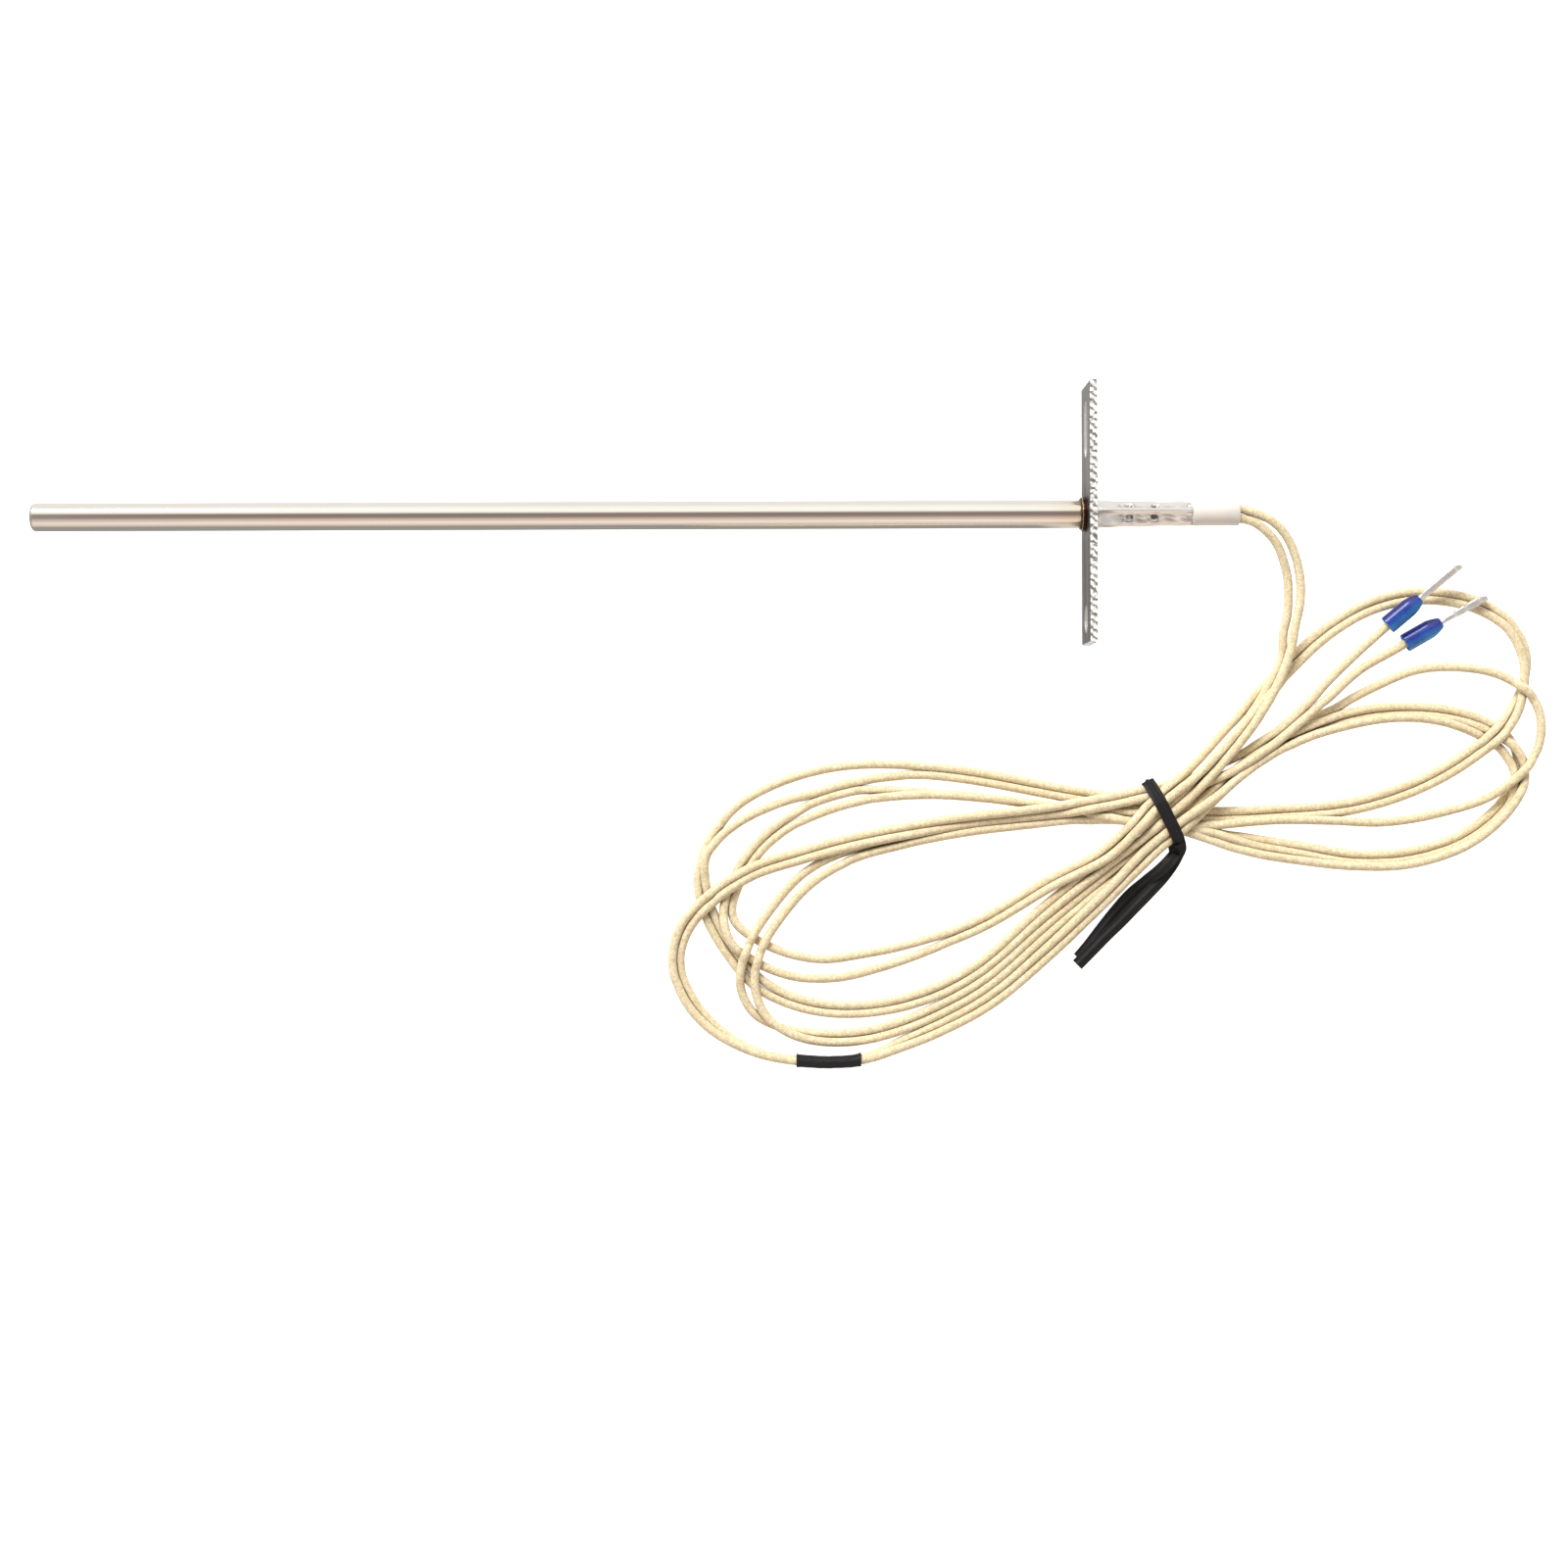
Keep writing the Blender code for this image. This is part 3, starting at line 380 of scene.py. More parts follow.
def smooth_line(points, step):
    """A smooth curve through the points, cut into equal steps."""
    points = np.array(points, float)
    chords = np.linalg.norm(np.diff(points[:, :3], axis=0), axis=1)
    knots = np.concatenate([[0], np.cumsum(chords**0.5)])
    slopes = np.gradient(points, knots, axis=0)
    t = np.linspace(0, 1, 24, endpoint=False)[:, None]
    parts = []
    for i in range(len(points) - 1):
        gap = knots[i + 1] - knots[i]
        parts.append(
            (2 * t**3 - 3 * t**2 + 1) * points[i]
            + (t**3 - 2 * t**2 + t) * slopes[i] * gap
            + (3 * t**2 - 2 * t**3) * points[i + 1]
            + (t**3 - t**2) * slopes[i + 1] * gap
        )
    parts.append(points[-1:])
    return even(np.concatenate(parts), step)


def turns(count):
    """That many angles, spread evenly over one turn."""
    return 2 * np.pi * np.arange(count) / count


def axis_ring(x, radius, turn):
    """A ring round the tube's axis. x and radius are numbers, or one for each angle."""
    x, radius = np.broadcast_to(x, turn.shape), np.broadcast_to(radius, turn.shape)
    return np.stack([x, radius * np.cos(turn), AXIS_Z + radius * np.sin(turn)], 1)


def unit(v):
    return v / np.maximum(np.linalg.norm(v, axis=-1, keepdims=True), 1e-9)


def frames(line):
    """Two directions across the line at each point, turning as little as they can."""
    along = unit(np.gradient(line, axis=0))
    across = np.zeros_like(line)
    side = np.array((0.0, 0.0, 1.0)) - along[0] * along[0][2]
    for i, ahead in enumerate(along):
        side = side - ahead * side.dot(ahead)
        side = side / np.linalg.norm(side)
        across[i] = side
    return across, np.cross(along, across)


def rings(line, radii, sides):
    """Round sections along a line. radii has one number for each section, or for each point."""
    up, out = frames(line)
    turn = turns(sides)
    radii = np.asarray(radii, float).reshape(len(line), -1)
    wide = (radii * np.cos(turn))[:, :, None] * up[:, None, :]
    high = (radii * np.sin(turn))[:, :, None] * out[:, None, :]
    return line[:, None, :] + wide + high


def loft(sections, caps=True, ring=False):
    """Points and faces of a skin over sections that have the same number of points.

    A ring joins its last section to its first, and anything else is capped at both ends
    unless caps is off.
    """
    count, around = sections.shape[:2]
    points = sections.reshape(-1, 3)
    side = np.arange(around)
    faces = []
    for i in range(count if ring else count - 1):
        a = i * around
        b = ((i + 1) % count) * around
        quads = [a + side, a + (side + 1) % around, b + (side + 1) % around, b + side]
        faces.extend(np.stack(quads, 1).tolist())
    if caps and not ring:
        faces.append(side[::-1].tolist())
        faces.append(((count - 1) * around + side).tolist())
    return points, faces


def joined(*parts):
    """Several (points, faces) as one."""
    points, faces, offset = [], [], 0
    for some, quads in parts:
        points.append(np.asarray(some, float).reshape(-1, 3))
        faces.extend([[offset + k for k in quad] for quad in quads])
        offset += len(points[-1])
    return np.concatenate(points), faces


def break_edges(work, degrees):
    """Marks the edges that are sharper than that many degrees."""
    for edge in work.edges:
        if len(edge.link_faces) == 2 and edge.calc_face_angle(0) > math.radians(degrees):
            edge.smooth = False


def piece(name, shape, finish, nodes, sharp=40, uv=None):
    """An object on the body, with smooth shading broken at sharp edges."""
    points, faces = shape
    mesh = bpy.data.meshes.new(name)
    mesh.from_pydata((np.asarray(points).reshape(-1, 3) * MM).tolist(), [], faces)
    mesh.polygons.foreach_set("use_smooth", np.ones(len(mesh.polygons), bool))
    if sharp:
        work = bmesh.new()
        work.from_mesh(mesh)
        bmesh.ops.recalc_face_normals(work, faces=work.faces)
        break_edges(work, sharp)
        work.to_mesh(mesh)
        work.free()
    if uv is not None:
        layer = mesh.uv_layers.new(name="UVMap")
        layer.data.foreach_set("uv", np.asarray(uv, np.float32).ravel())
    for some in finish if isinstance(finish, (list, tuple)) else [finish]:
        mesh.materials.append(some)
    made = bpy.data.objects.new(name, mesh)
    bpy.context.scene.collection.objects.link(made)
    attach(made, "root")
    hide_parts(*nodes)
    return made


# ---------------------------------------------------------------- materials


def new_finish(name, **values):
    """A material, its node tree and its Principled shader, with those inputs set."""
    made = bpy.data.materials.new(name)
    made.use_nodes = True
    tree = made.node_tree
    shader = tree.nodes["Principled BSDF"]
    for key, value in values.items():
        put(tree, shader.inputs[key.replace("_", " ").title()], value)
    return made, tree, shader


def put(tree, socket, value):
    """Sets an input to a number or colour, or links an output to it."""
    if isinstance(value, bpy.types.NodeSocket):
        tree.links.new(value, socket)
    elif isinstance(value, tuple) and len(value) == 3 and socket.type == "RGBA":
        socket.default_value = (*value, 1)
    else:
        socket.default_value = value


def add(tree, kind, inputs=None, **settings):
    """A node, with its settings and inputs set."""
    made = tree.nodes.new(kind)
    for key, value in settings.items():
        setattr(made, key, value)
    for key, value in (inputs or {}).items():
        put(tree, made.inputs[key], value)
    return made


def calc(tree, operation, *values):
    """A Math node's result."""
    return add(tree, "ShaderNodeMath", dict(enumerate(values)), operation=operation).outputs[0]


def place_of(tree):
    """Where a point is, in metres, and its three numbers."""
    place = add(tree, "ShaderNodeTexCoord").outputs["Object"]
    apart = add(tree, "ShaderNodeSeparateXYZ", {0: place})
    return place, apart.outputs


def stretched(tree, place, scale):
    """Coordinates for a texture, drawn out by a different amount each way."""
    return add(tree, "ShaderNodeMapping", {"Vector": place, "Scale": scale}).outputs[0]


def noise_of(tree, place, scale, detail, roughness=0.55):
    """Noise with so many features in a metre, scale / 1000 of them in a mm."""
    inputs = {"Vector": place, "Scale": scale, "Detail": detail, "Roughness": roughness}
    return add(tree, "ShaderNodeTexNoise", inputs).outputs[0]


def ramp(tree, factor, *stops):
    """A colour or number that changes with factor: each stop is a place and its value."""
    made = add(tree, "ShaderNodeValToRGB", {0: factor})
    elements = made.color_ramp.elements
    while len(elements) < len(stops):
        elements.new(0.5)
    for element, (place, colour) in zip(elements, stops, strict=True):
        element.position = place
        element.color = (*colour, 1) if isinstance(colour, tuple) else (colour,) * 3 + (1,)
    return made.outputs[0]


def blend(tree, factor, a, b):
    """From colour a, where factor is 0, to colour b, where it is 1."""
    made = add(tree, "ShaderNodeMix", data_type="RGBA")
    for key, value in ((0, factor), (6, a), (7, b)):
        put(tree, made.inputs[key], value)
    return made.outputs[2]


def scaled(tree, value, low, high):
    """A factor from 0 to 1 turned into low to high."""
    inputs = {"Value": value, "To Min": low, "To Max": high}
    return add(tree, "ShaderNodeMapRange", inputs).outputs[0]


def bump(tree, height, depth):
    """A normal from a height of 0 to 1 that stands for so many mm."""
    inputs = {"Height": height, "Distance": depth * MM, "Strength": 1.0}
    return add(tree, "ShaderNodeBump", inputs).outputs[0]


def open_sky(tree, reach):
    """1 in the open and 0 deep in a crease, from how much lies within reach."""
    inputs = {"Distance": reach * MM}
    return add(tree, "ShaderNodeAmbientOcclusion", inputs, samples=6).outputs["AO"]


def paint(tree, shader, colour, roughness, height, depth):
    """Sets a finish's colour, its roughness, and the bump of a height over so many mm."""
    put(tree, shader.inputs["Base Color"], colour)
    put(tree, shader.inputs["Roughness"], roughness)
    put(tree, shader.inputs["Normal"], bump(tree, height, depth))


def srgb(red, green, blue):
    """A colour as the screen shows it, from 0 to 255, in the shader's linear numbers."""
    out = []
    for value in (red, green, blue):
        value = value / 255
        out.append(value / 12.92 if value <= 0.04045 else ((value + 0.055) / 1.055) ** 2.4)
    return tuple(out)


# ---------------------------------------------------------------- the leads' lie


def ferrule_axes(number):
    """A ferrule's rear end, and its directions ahead, aside and up."""
    place, heading, climb = FERRULES[number]
    ahead = np.array((
        math.cos(climb) * math.cos(heading),
        math.cos(climb) * math.sin(heading),
        math.sin(climb),
    ))
    side = np.array((-math.sin(heading), math.cos(heading), 0))
    return np.array(place), ahead, side, np.cross(ahead, side)


def ferrule_line(number, start, end):
    """Points along a ferrule's axis, between two distances from its rear end."""
    place, ahead, _, _ = ferrule_axes(number)
    return place + np.arange(start, end, SETTLE_STEP)[:, None] * ahead


def full_route(exit_part, lobes, end_part):
    """A lead's route in x, y and z, from inside the sleeve to inside its ferrule."""
    rows = list(exit_part)
    for lobe in lobes:
        rows += [(x, y, FLOOR_LEVEL + LEVEL_RISE * level) for x, y, level in lobe]
    rows += list(end_part)
    return smooth_line(rows, SETTLE_STEP)


def close_pairs(place, owner):
    """The pairs of points nearer than REACH from above that aren't neighbours on one lead."""
    index = np.arange(len(place))
    firsts, seconds = [], []
    for start in range(0, len(place), PAIR_BLOCK):
        block = slice(start, start + PAIR_BLOCK)
        near = index[None, :] > index[block, None]
        for k in range(2):
            near &= np.abs(place[block, k, None] - place[None, :, k]) < REACH
        a, b = np.nonzero(near)
        a = a + start
        apart = (owner[a] != owner[b]) | (b - a > NEIGHBOURS)
        firsts.append(a[apart])
        seconds.append(b[apart])
    return np.concatenate(firsts), np.concatenate(seconds)


def on_top(a, b, overlap, rank):
    """For each pair 1 where the first lies over the second, or else -1.

    A whole stretch in which two strands overlap gets one answer, so they don't change
    places along it.
    """
    pairs = zip(a.tolist(), b.tolist(), strict=True)
    number = {pair: k for k, pair in enumerate(pairs) if overlap[k]}
    stretch = np.arange(len(a))
    seen = set()
    for pair, k in number.items():
        if pair in seen:
            continue
        seen.add(pair)
        todo = [pair]
        while todo:
            i, j = todo.pop()
            stretch[number[i, j]] = k
            for other in ((i + m, j + n) for m in (-1, 0, 1) for n in (-1, 0, 1)):
                if other in number and other not in seen:
                    seen.add(other)
                    todo.append(other)
    lead_by = np.bincount(stretch, rank[a] - rank[b], len(a))
    return np.where(lead_by[stretch] >= 0, 1.0, -1.0)


def spread_out(values, leads, width):
    """Values averaged along each lead over a few points either side."""
    reach = int(3 * width)
    weights = np.exp(-0.5 * (np.arange(-reach, reach + 1) / width) ** 2)
    weights = weights / weights.sum()
    out = values.copy()
    for index in leads:
        line = values[index]
        ends = np.repeat(line[:1], reach, 0), np.repeat(line[-1:], reach, 0)
        padded = np.concatenate([ends[0], line, ends[1]])
        for k in range(values.shape[1]):
            out[index, k] = np.convolve(padded[:, k], weights, "valid")
    return out


def draw_in(place, leads):
    """Every point's plan with the hank drawn in by the tie, and the lowest it may lie."""
    plan = place.copy()
    offset = plan[:, :2] - WAIST
    along, across = np.abs(offset @ WAIST_ALONG), offset @ WAIST_OUT
    most = WAIST_HALF + 0.5 * np.maximum(along - 1.5, 0)
    near_tie = (along < 12) & (np.abs(across) < 9)
    over = np.where(near_tie, np.maximum(np.abs(across) - most, 0), 0)
    plan[:, :2] -= spread_out((over * np.sign(across))[:, None], leads, TIE_BLUR) * WAIST_OUT
    under_tie = np.clip(1.6 - along / 2.5, 0, 1) * (np.abs(across) < 9)
    return plan, LEAD_RADIUS + (TIE_THICKNESS + 0.05) * under_tie


def pushed_apart(place, a, b, both, upper):
    """The step that takes each point clear of those it cuts into, by rising or by moving aside."""
    gap = place[a] - place[b]
    flat = np.maximum(np.hypot(gap[:, 0], gap[:, 1]), 1e-6)
    beside = np.clip((flat / both - 0.5) / 0.4, 0, 1)
    rise = np.sqrt(np.maximum(both**2 - flat**2, 0)) - upper * gap[:, 2]
    rise = np.where(flat < both, np.maximum(rise, 0), 0) * (1 - beside)
    apart = np.sqrt(np.maximum(both**2 - gap[:, 2] ** 2, 0)) - flat
    apart = np.maximum(apart, 0) * beside
    # Strands that almost touch are drawn together.
    loose = (flat > both) & (flat < 1.22 * both) & (np.abs(gap[:, 2]) < LEAD_RADIUS)
    apart = np.where(loose, CLINGING * (both - flat), apart)
    push = np.column_stack([gap[:, :2] / flat[:, None] * apart[:, None], upper * rise]) * 0.5
    hit = (apart != 0) | (rise > 0)
    share = sum(np.bincount(end[hit], minlength=len(place)) for end in (a, b))
    total = np.zeros_like(place)
    for k in range(3):
        total[:, k] += np.bincount(a, push[:, k], len(place))
        total[:, k] -= np.bincount(b, push[:, k], len(place))
    return total / np.maximum(share, 1)[:, None] * 1.6


def settle(routes):
    """Lets the leads down onto the floor and onto each other.

    From above they stay within LEEWAY of their routes. Where two overlap, the one whose
    route rides higher stays on top.
    """
    # Parts 0 and 1 are the leads, 2 and 3 their collars, and 4 and 5 their pins.
    pin_start = COLLAR_LENGTH - 1
    collars = [ferrule_line(number, -0.2, pin_start) for number in (0, 1)]
    pins = [ferrule_line(number, pin_start, COLLAR_LENGTH + PIN_LENGTH) for number in (0, 1)]
    parts = [*routes, *collars, *pins]
    place = np.concatenate(parts)
    owner = np.repeat(np.arange(len(parts)), [len(part) for part in parts])
    leads = [np.nonzero(owner == number)[0] for number in (0, 1)]
    radius = np.full(len(place), NEAREST / 2)
    radius[(owner == 2) | (owner == 3)] = COLLAR_RADIUS
    radius[(owner == 4) | (owner == 5)] = PIN_RADIUS
    free = owner < 2
    held = np.zeros(len(place))
    for index in leads:
        free[index[:FIXED_AT_EXIT]] = False
        free[index[-FIXED_AT_END:]] = False
        held[index[:HELD_AT_EXIT]] = np.linspace(1, 0, HELD_AT_EXIT)
        held[index[-HELD_AT_END:]] = np.linspace(0, 1, HELD_AT_END)
    plan, floor = draw_in(place, leads)
    place[:, :2] = plan[:, :2]
    # Of two that ride equally high, lead 1 goes over lead 2.
    rank = plan[:, 2] + 0.04 * (owner == 0)
    a, b = close_pairs(plan, owner)
    # A lead's last points lie inside its own ferrule.
    keep = np.ones(len(a), bool)
    for number, index in enumerate(leads):
        own = (owner[a] == number) & np.isin(owner[b], (number + 2, number + 4))
        keep &= ~(own & (a > index[-IN_FERRULE]))
    a, b = a[keep], b[keep]
    both = radius[a] + radius[b]
    seen_apart = np.linalg.norm(plan[a, :2] - plan[b, :2], axis=1)
    upper = on_top(a, b, seen_apart < 0.95 * both, rank)
    for _ in range(SETTLE_ROUNDS):
        moved = place.copy()
        drift = spread_out(place[:, :2] - plan[:, :2], leads, BLUR)
        moved[:, :2] = plan[:, :2] + (1 - PLAN_PULL) * drift
        smooth = spread_out(place[:, 2:], leads, BLUR)[:, 0]
        moved[:, 2] += 0.5 * (smooth - place[:, 2]) - FALL * (1 - held)
        moved[:, 2] += 0.25 * held * (plan[:, 2] - place[:, 2])
        place[free] = moved[free]
        for _ in range(2):
            place[free] += pushed_apart(place, a, b, both, upper)[free]
        off = place[:, :2] - plan[:, :2]
        far = np.maximum(np.hypot(off[:, 0], off[:, 1]) / LEEWAY, 1)
        place[:, :2] = plan[:, :2] + off / far[:, None]
        place[free, 2] = np.maximum(place[free, 2], floor[free])
    gap = np.linalg.norm(place[a] - place[b], axis=1)
    deep = np.mean(gap < 0.85 * both) * 100
    top = place[owner < 2, 2].max()
    print(f"leads: nearest {gap.min():.2f} mm, {deep:.1f}% of pairs deep, top {top:.1f}")
    return [place[index] for index in leads]


routes = settle([full_route(EXIT_1, LEAD_1, END_1), full_route(EXIT_2, LEAD_2, END_2)])
leads_lie = [smooth_line(route[::2], BRAID_STEP) for route in routes]


def line_length(line):
    return float(np.linalg.norm(np.diff(line, axis=0), axis=1).sum())


def braided(name, line, finish, nodes):
    """A braided lead: little raised diamonds where the strands cross."""
    sides = np.arange(BRAID_SIDES)
    rows = np.arange(len(line))
    weave = np.cos(np.pi * rows)[:, None] * np.cos(np.pi * sides)[None, :]
    radii = LEAD_RADIUS - BRAID_RELIEF / 2 + BRAID_RELIEF * weave / 2
    points, faces = loft(rings(line, radii, BRAID_SIDES))
    run = rows * BRAID_STEP
    count = len(line) - 1
    u = np.stack([sides, sides + 1, sides + 1, sides], 1) / BRAID_SIDES
    v = np.stack([run[:-1], run[:-1], run[1:], run[1:]], 1)
    uv = np.zeros((count, BRAID_SIDES, 4, 2), np.float32)
    uv[..., 0] = u[None]
    uv[..., 1] = v[:, None]
    ends = np.zeros((2 * BRAID_SIDES, 2), np.float32)
    uv = np.concatenate([uv.reshape(-1, 2), ends])
    return piece(name, (points, faces), finish, nodes, sharp=0, uv=uv)


def braid_finish():
    """Cream glass braid: two sets of strands that cross, darker in the grooves between them, with
    painted shade where leads lie against each other.
    """
    made, tree, shader = new_finish("glass_braid", roughness=0.62)
    uv = add(tree, "ShaderNodeTexCoord").outputs["UV"]
    apart = add(tree, "ShaderNodeSeparateXYZ", {0: uv}).outputs
    round_it = calc(tree, "MULTIPLY", apart[0], BRAID_SIDES / 2)
    along = calc(tree, "DIVIDE", apart[1], 2 * BRAID_STEP)
    one = calc(tree, "ADD", round_it, along)
    other = calc(tree, "SUBTRACT", round_it, along)

    def wave(value, turns):
        angle = calc(tree, "MULTIPLY", value, 2 * math.pi * turns)
        return calc(tree, "MULTIPLY_ADD", calc(tree, "COSINE", angle), 0.5, 0.5)

    upper = calc(tree, "MULTIPLY", wave(one, 1), wave(other, 1))
    crossing = calc(tree, "MULTIPLY", wave(one, FILAMENTS), upper)
    strands = calc(tree, "MAXIMUM", crossing, wave(other, FILAMENTS))
    place, _ = place_of(tree)
    patches = noise_of(tree, place, 900, 3)
    broad = noise_of(tree, place, 90, 2)
    cell = noise_of(tree, place, 3500, 2)
    flecks = ramp(tree, noise_of(tree, place, 2300, 2), (0.38, 0.0), (0.62, 1.0))
    pale = blend(tree, scaled(tree, broad, -0.2, 1.2), srgb(242, 232, 204), srgb(234, 220, 184))
    deep = blend(tree, cell, srgb(166, 140, 94), srgb(186, 162, 116))
    height = calc(tree, "MULTIPLY_ADD", strands, 0.35, calc(tree, "MULTIPLY", upper, 0.65))
    tone = calc(tree, "MULTIPLY_ADD", patches, 0.45, calc(tree, "MULTIPLY", height, 0.45))
    tone = calc(tree, "MULTIPLY_ADD", flecks, 0.35, tone)
    # Painted shade: darker in the creases where strands lie against each other.
    clear = ramp(tree, open_sky(tree, CREASE_REACH), (0.14, 0.0), (0.55, 1.0))
    colour = blend(tree, clear, (0.10, 0.07, 0.03), blend(tree, tone, deep, pale))
    paint(tree, shader, colour, scaled(tree, patches, 0.5, 0.8), height, 0.03)
    shader.inputs["Specular IOR Level"].default_value = 0.35
    return made


GLASS_BRAID = braid_finish()
leads = []
for number, line in enumerate(leads_lie, 1):
    nodes = [f"lead_exit_{number}", f"lead_end_{number}"]
    if number == 1:
        nodes.append("lead_hank")
    leads.append(braided(f"braided_lead_{number}", line, GLASS_BRAID, nodes))
    print(f"lead {number}: {line_length(line):.1f} mm")


# ---------------------------------------------------------------- metal


def steel_finish():
    """Drawn and polished stainless tube: fine lines along it, and heat tint by the weld."""
    made, tree, shader = new_finish("drawn_steel", metallic=1.0)
    place, (x, _, _) = place_of(tree)
    lines = noise_of(tree, stretched(tree, place, (40, 2500, 2500)), 1.0, 3)
    rings_seen = noise_of(tree, stretched(tree, place, (1500, 60, 60)), 1.0, 2)
    broad = noise_of(tree, place, 60, 2)
    clean = blend(tree, broad, (0.81, 0.78, 0.73), (0.85, 0.82, 0.77))
    from_weld = calc(tree, "SUBTRACT", FRONT_X * MM, x)
    uneven = calc(tree, "MULTIPLY_ADD", noise_of(tree, place, 500, 2), 1.6 * MM, from_weld)
    heated = calc(tree, "DIVIDE", uneven, HEAT_REACH * MM)
    heat = ramp(
        tree,
        heated,
        (0.0, (0.16, 0.10, 0.05)),
        (0.1, (0.30, 0.20, 0.10)),
        (0.14, (0.62, 0.49, 0.32)),
        (0.2, (0.79, 0.71, 0.60)),
        (0.6, (0.83, 0.78, 0.72)),
        (1.0, (0.83, 0.80, 0.75)),
    )
    near = ramp(tree, heated, (0.0, 1.0), (0.75, 1.0), (1.0, 0.0))
    behind = calc(tree, "LESS_THAN", from_weld, -0.5 * MM)
    near = calc(tree, "MULTIPLY", near, calc(tree, "SUBTRACT", 1.0, behind))
    # The squeezed tail is duller, with painted shade in its folds.
    folds = ramp(tree, open_sky(tree, FOLD_REACH), (0.58, 0.0), (0.93, 1.0))
    squeezed = blend(tree, folds, (0.16, 0.135, 0.12), (0.84, 0.825, 0.80))
    colour = blend(tree, behind, blend(tree, near, clean, heat), squeezed)
    rough = calc(tree, "MULTIPLY_ADD", behind, 0.12, scaled(tree, lines, 0.08, 0.17))
    height = calc(tree, "MULTIPLY_ADD", rings_seen, 0.2, lines)
    paint(tree, shader, colour, rough, height, 0.002)
    return made


def plate_finish():
    """The flange's satin faces, tinted round the weld."""
    made, tree, shader = new_finish("satin_plate", metallic=1.0)
    place, (_, y, z) = place_of(tree)
    lines = noise_of(tree, stretched(tree, place, (3000, 80, 3000)), 1.0, 3)
    broad = noise_of(tree, place, 120, 3)
    up = calc(tree, "SUBTRACT", z, AXIS_Z * MM)
    squares = calc(tree, "ADD", calc(tree, "POWER", y, 2), calc(tree, "POWER", up, 2))
    off = calc(tree, "MULTIPLY_ADD", broad, 2 * MM, calc(tree, "SQRT", squares))
    off = calc(tree, "DIVIDE", off, TINT_REACH * MM)
    plain = blend(tree, broad, (0.20, 0.197, 0.193), (0.25, 0.247, 0.242))
    tint = ramp(
        tree,
        off,
        (0.0, (0.05, 0.03, 0.025)),
        (0.5, (0.05, 0.035, 0.03)),
        (0.55, (0.11, 0.095, 0.085)),
        (0.6, (0.16, 0.155, 0.15)),
    )
    near = ramp(tree, off, (0.34, 1.0), (0.42, 0.0))
    # Oxide ran out a little way along the plate on each side.
    level = calc(tree, "DIVIDE", calc(tree, "ABSOLUTE", up), 0.6 * MM)
    level = ramp(tree, level, (0.4, 1.0), (1.0, 0.0))
    reach = ramp(tree, off, (0.42, 1.0), (0.52, 0.0))
    near = calc(tree, "MAXIMUM", near, calc(tree, "MULTIPLY", level, reach))
    colour = blend(tree, near, plain, tint)
    paint(tree, shader, colour, scaled(tree, lines, 0.3, 0.48), lines, 0.006)
    # It is seen almost along its face, where a satin surface is duller than a mirror.
    shader.inputs["Specular Tint"].default_value = (0.70, 0.695, 0.69, 1.0)
    return made


def sheared_finish():
    """The flange's cut edges: bright slanted tears, with painted shade as dark lines between them.
    """
    made, tree, shader = new_finish("sheared_edge", metallic=0.35)
    place, (x, y, z) = place_of(tree)
    grain = noise_of(tree, place, 2200, 3, 0.6)
    wander = noise_of(tree, place, 700, 2)
    slant = calc(tree, "MULTIPLY_ADD", x, 0.6, calc(tree, "ADD", y, z))
    phase = calc(tree, "MULTIPLY", slant, 2 * math.pi / (SHEAR_PITCH * MM))
    phase = calc(tree, "MULTIPLY_ADD", wander, 8.0, phase)
    streak = calc(tree, "MULTIPLY_ADD", calc(tree, "COSINE", phase), 0.2, grain)
    # Painted shade: dark slanted lines between the bright tears, broken up by grain.
    colour = ramp(tree, streak, (0.32, (0.20, 0.19, 0.175)), (0.62, (0.96, 0.95, 0.93)))
    paint(tree, shader, colour, scaled(tree, grain, 0.2, 0.42), grain, 0.04)
    return made


def punched_finish():
    """The walls of the slot and the hole: bright and matt where the punch went through."""
    made, tree, shader = new_finish("punched_wall", metallic=1.0)
    place, _ = place_of(tree)
    grain = noise_of(tree, stretched(tree, place, (400, 3000, 3000)), 1.0, 3)
    colour = blend(tree, grain, (0.62, 0.61, 0.59), (0.86, 0.85, 0.83))
    paint(tree, shader, colour, scaled(tree, grain, 0.5, 0.7), grain, 0.02)
    return made


def weld_finish():
    """Dark oxide on the bead, with a bright line round it near the tube's side."""
    made, tree, shader = new_finish("heat_tinted_weld", metallic=1.0)
    place, (x, _, _) = place_of(tree)
    grain = noise_of(tree, place, 1500, 3)
    from_plate = calc(tree, "SUBTRACT", FRONT_X * MM, x)
    out = calc(tree, "DIVIDE", from_plate, WELD_WIDTH * MM)
    uneven = calc(tree, "MULTIPLY_ADD", calc(tree, "SUBTRACT", grain, 0.5), 0.3, out)
    colour = ramp(
        tree,
        uneven,
        (0.0, (0.075, 0.032, 0.026)),
        (0.3, (0.035, 0.016, 0.012)),
        (0.56, (0.05, 0.028, 0.018)),
        (0.66, (0.75, 0.58, 0.40)),
        (0.74, (0.06, 0.036, 0.02)),
        (0.9, (0.10, 0.065, 0.035)),
        (1.0, (0.30, 0.21, 0.11)),
    )
    pits = noise_of(tree, place, 4000, 2)
    paint(tree, shader, colour, scaled(tree, grain, 0.22, 0.45), pits, 0.02)
    return made


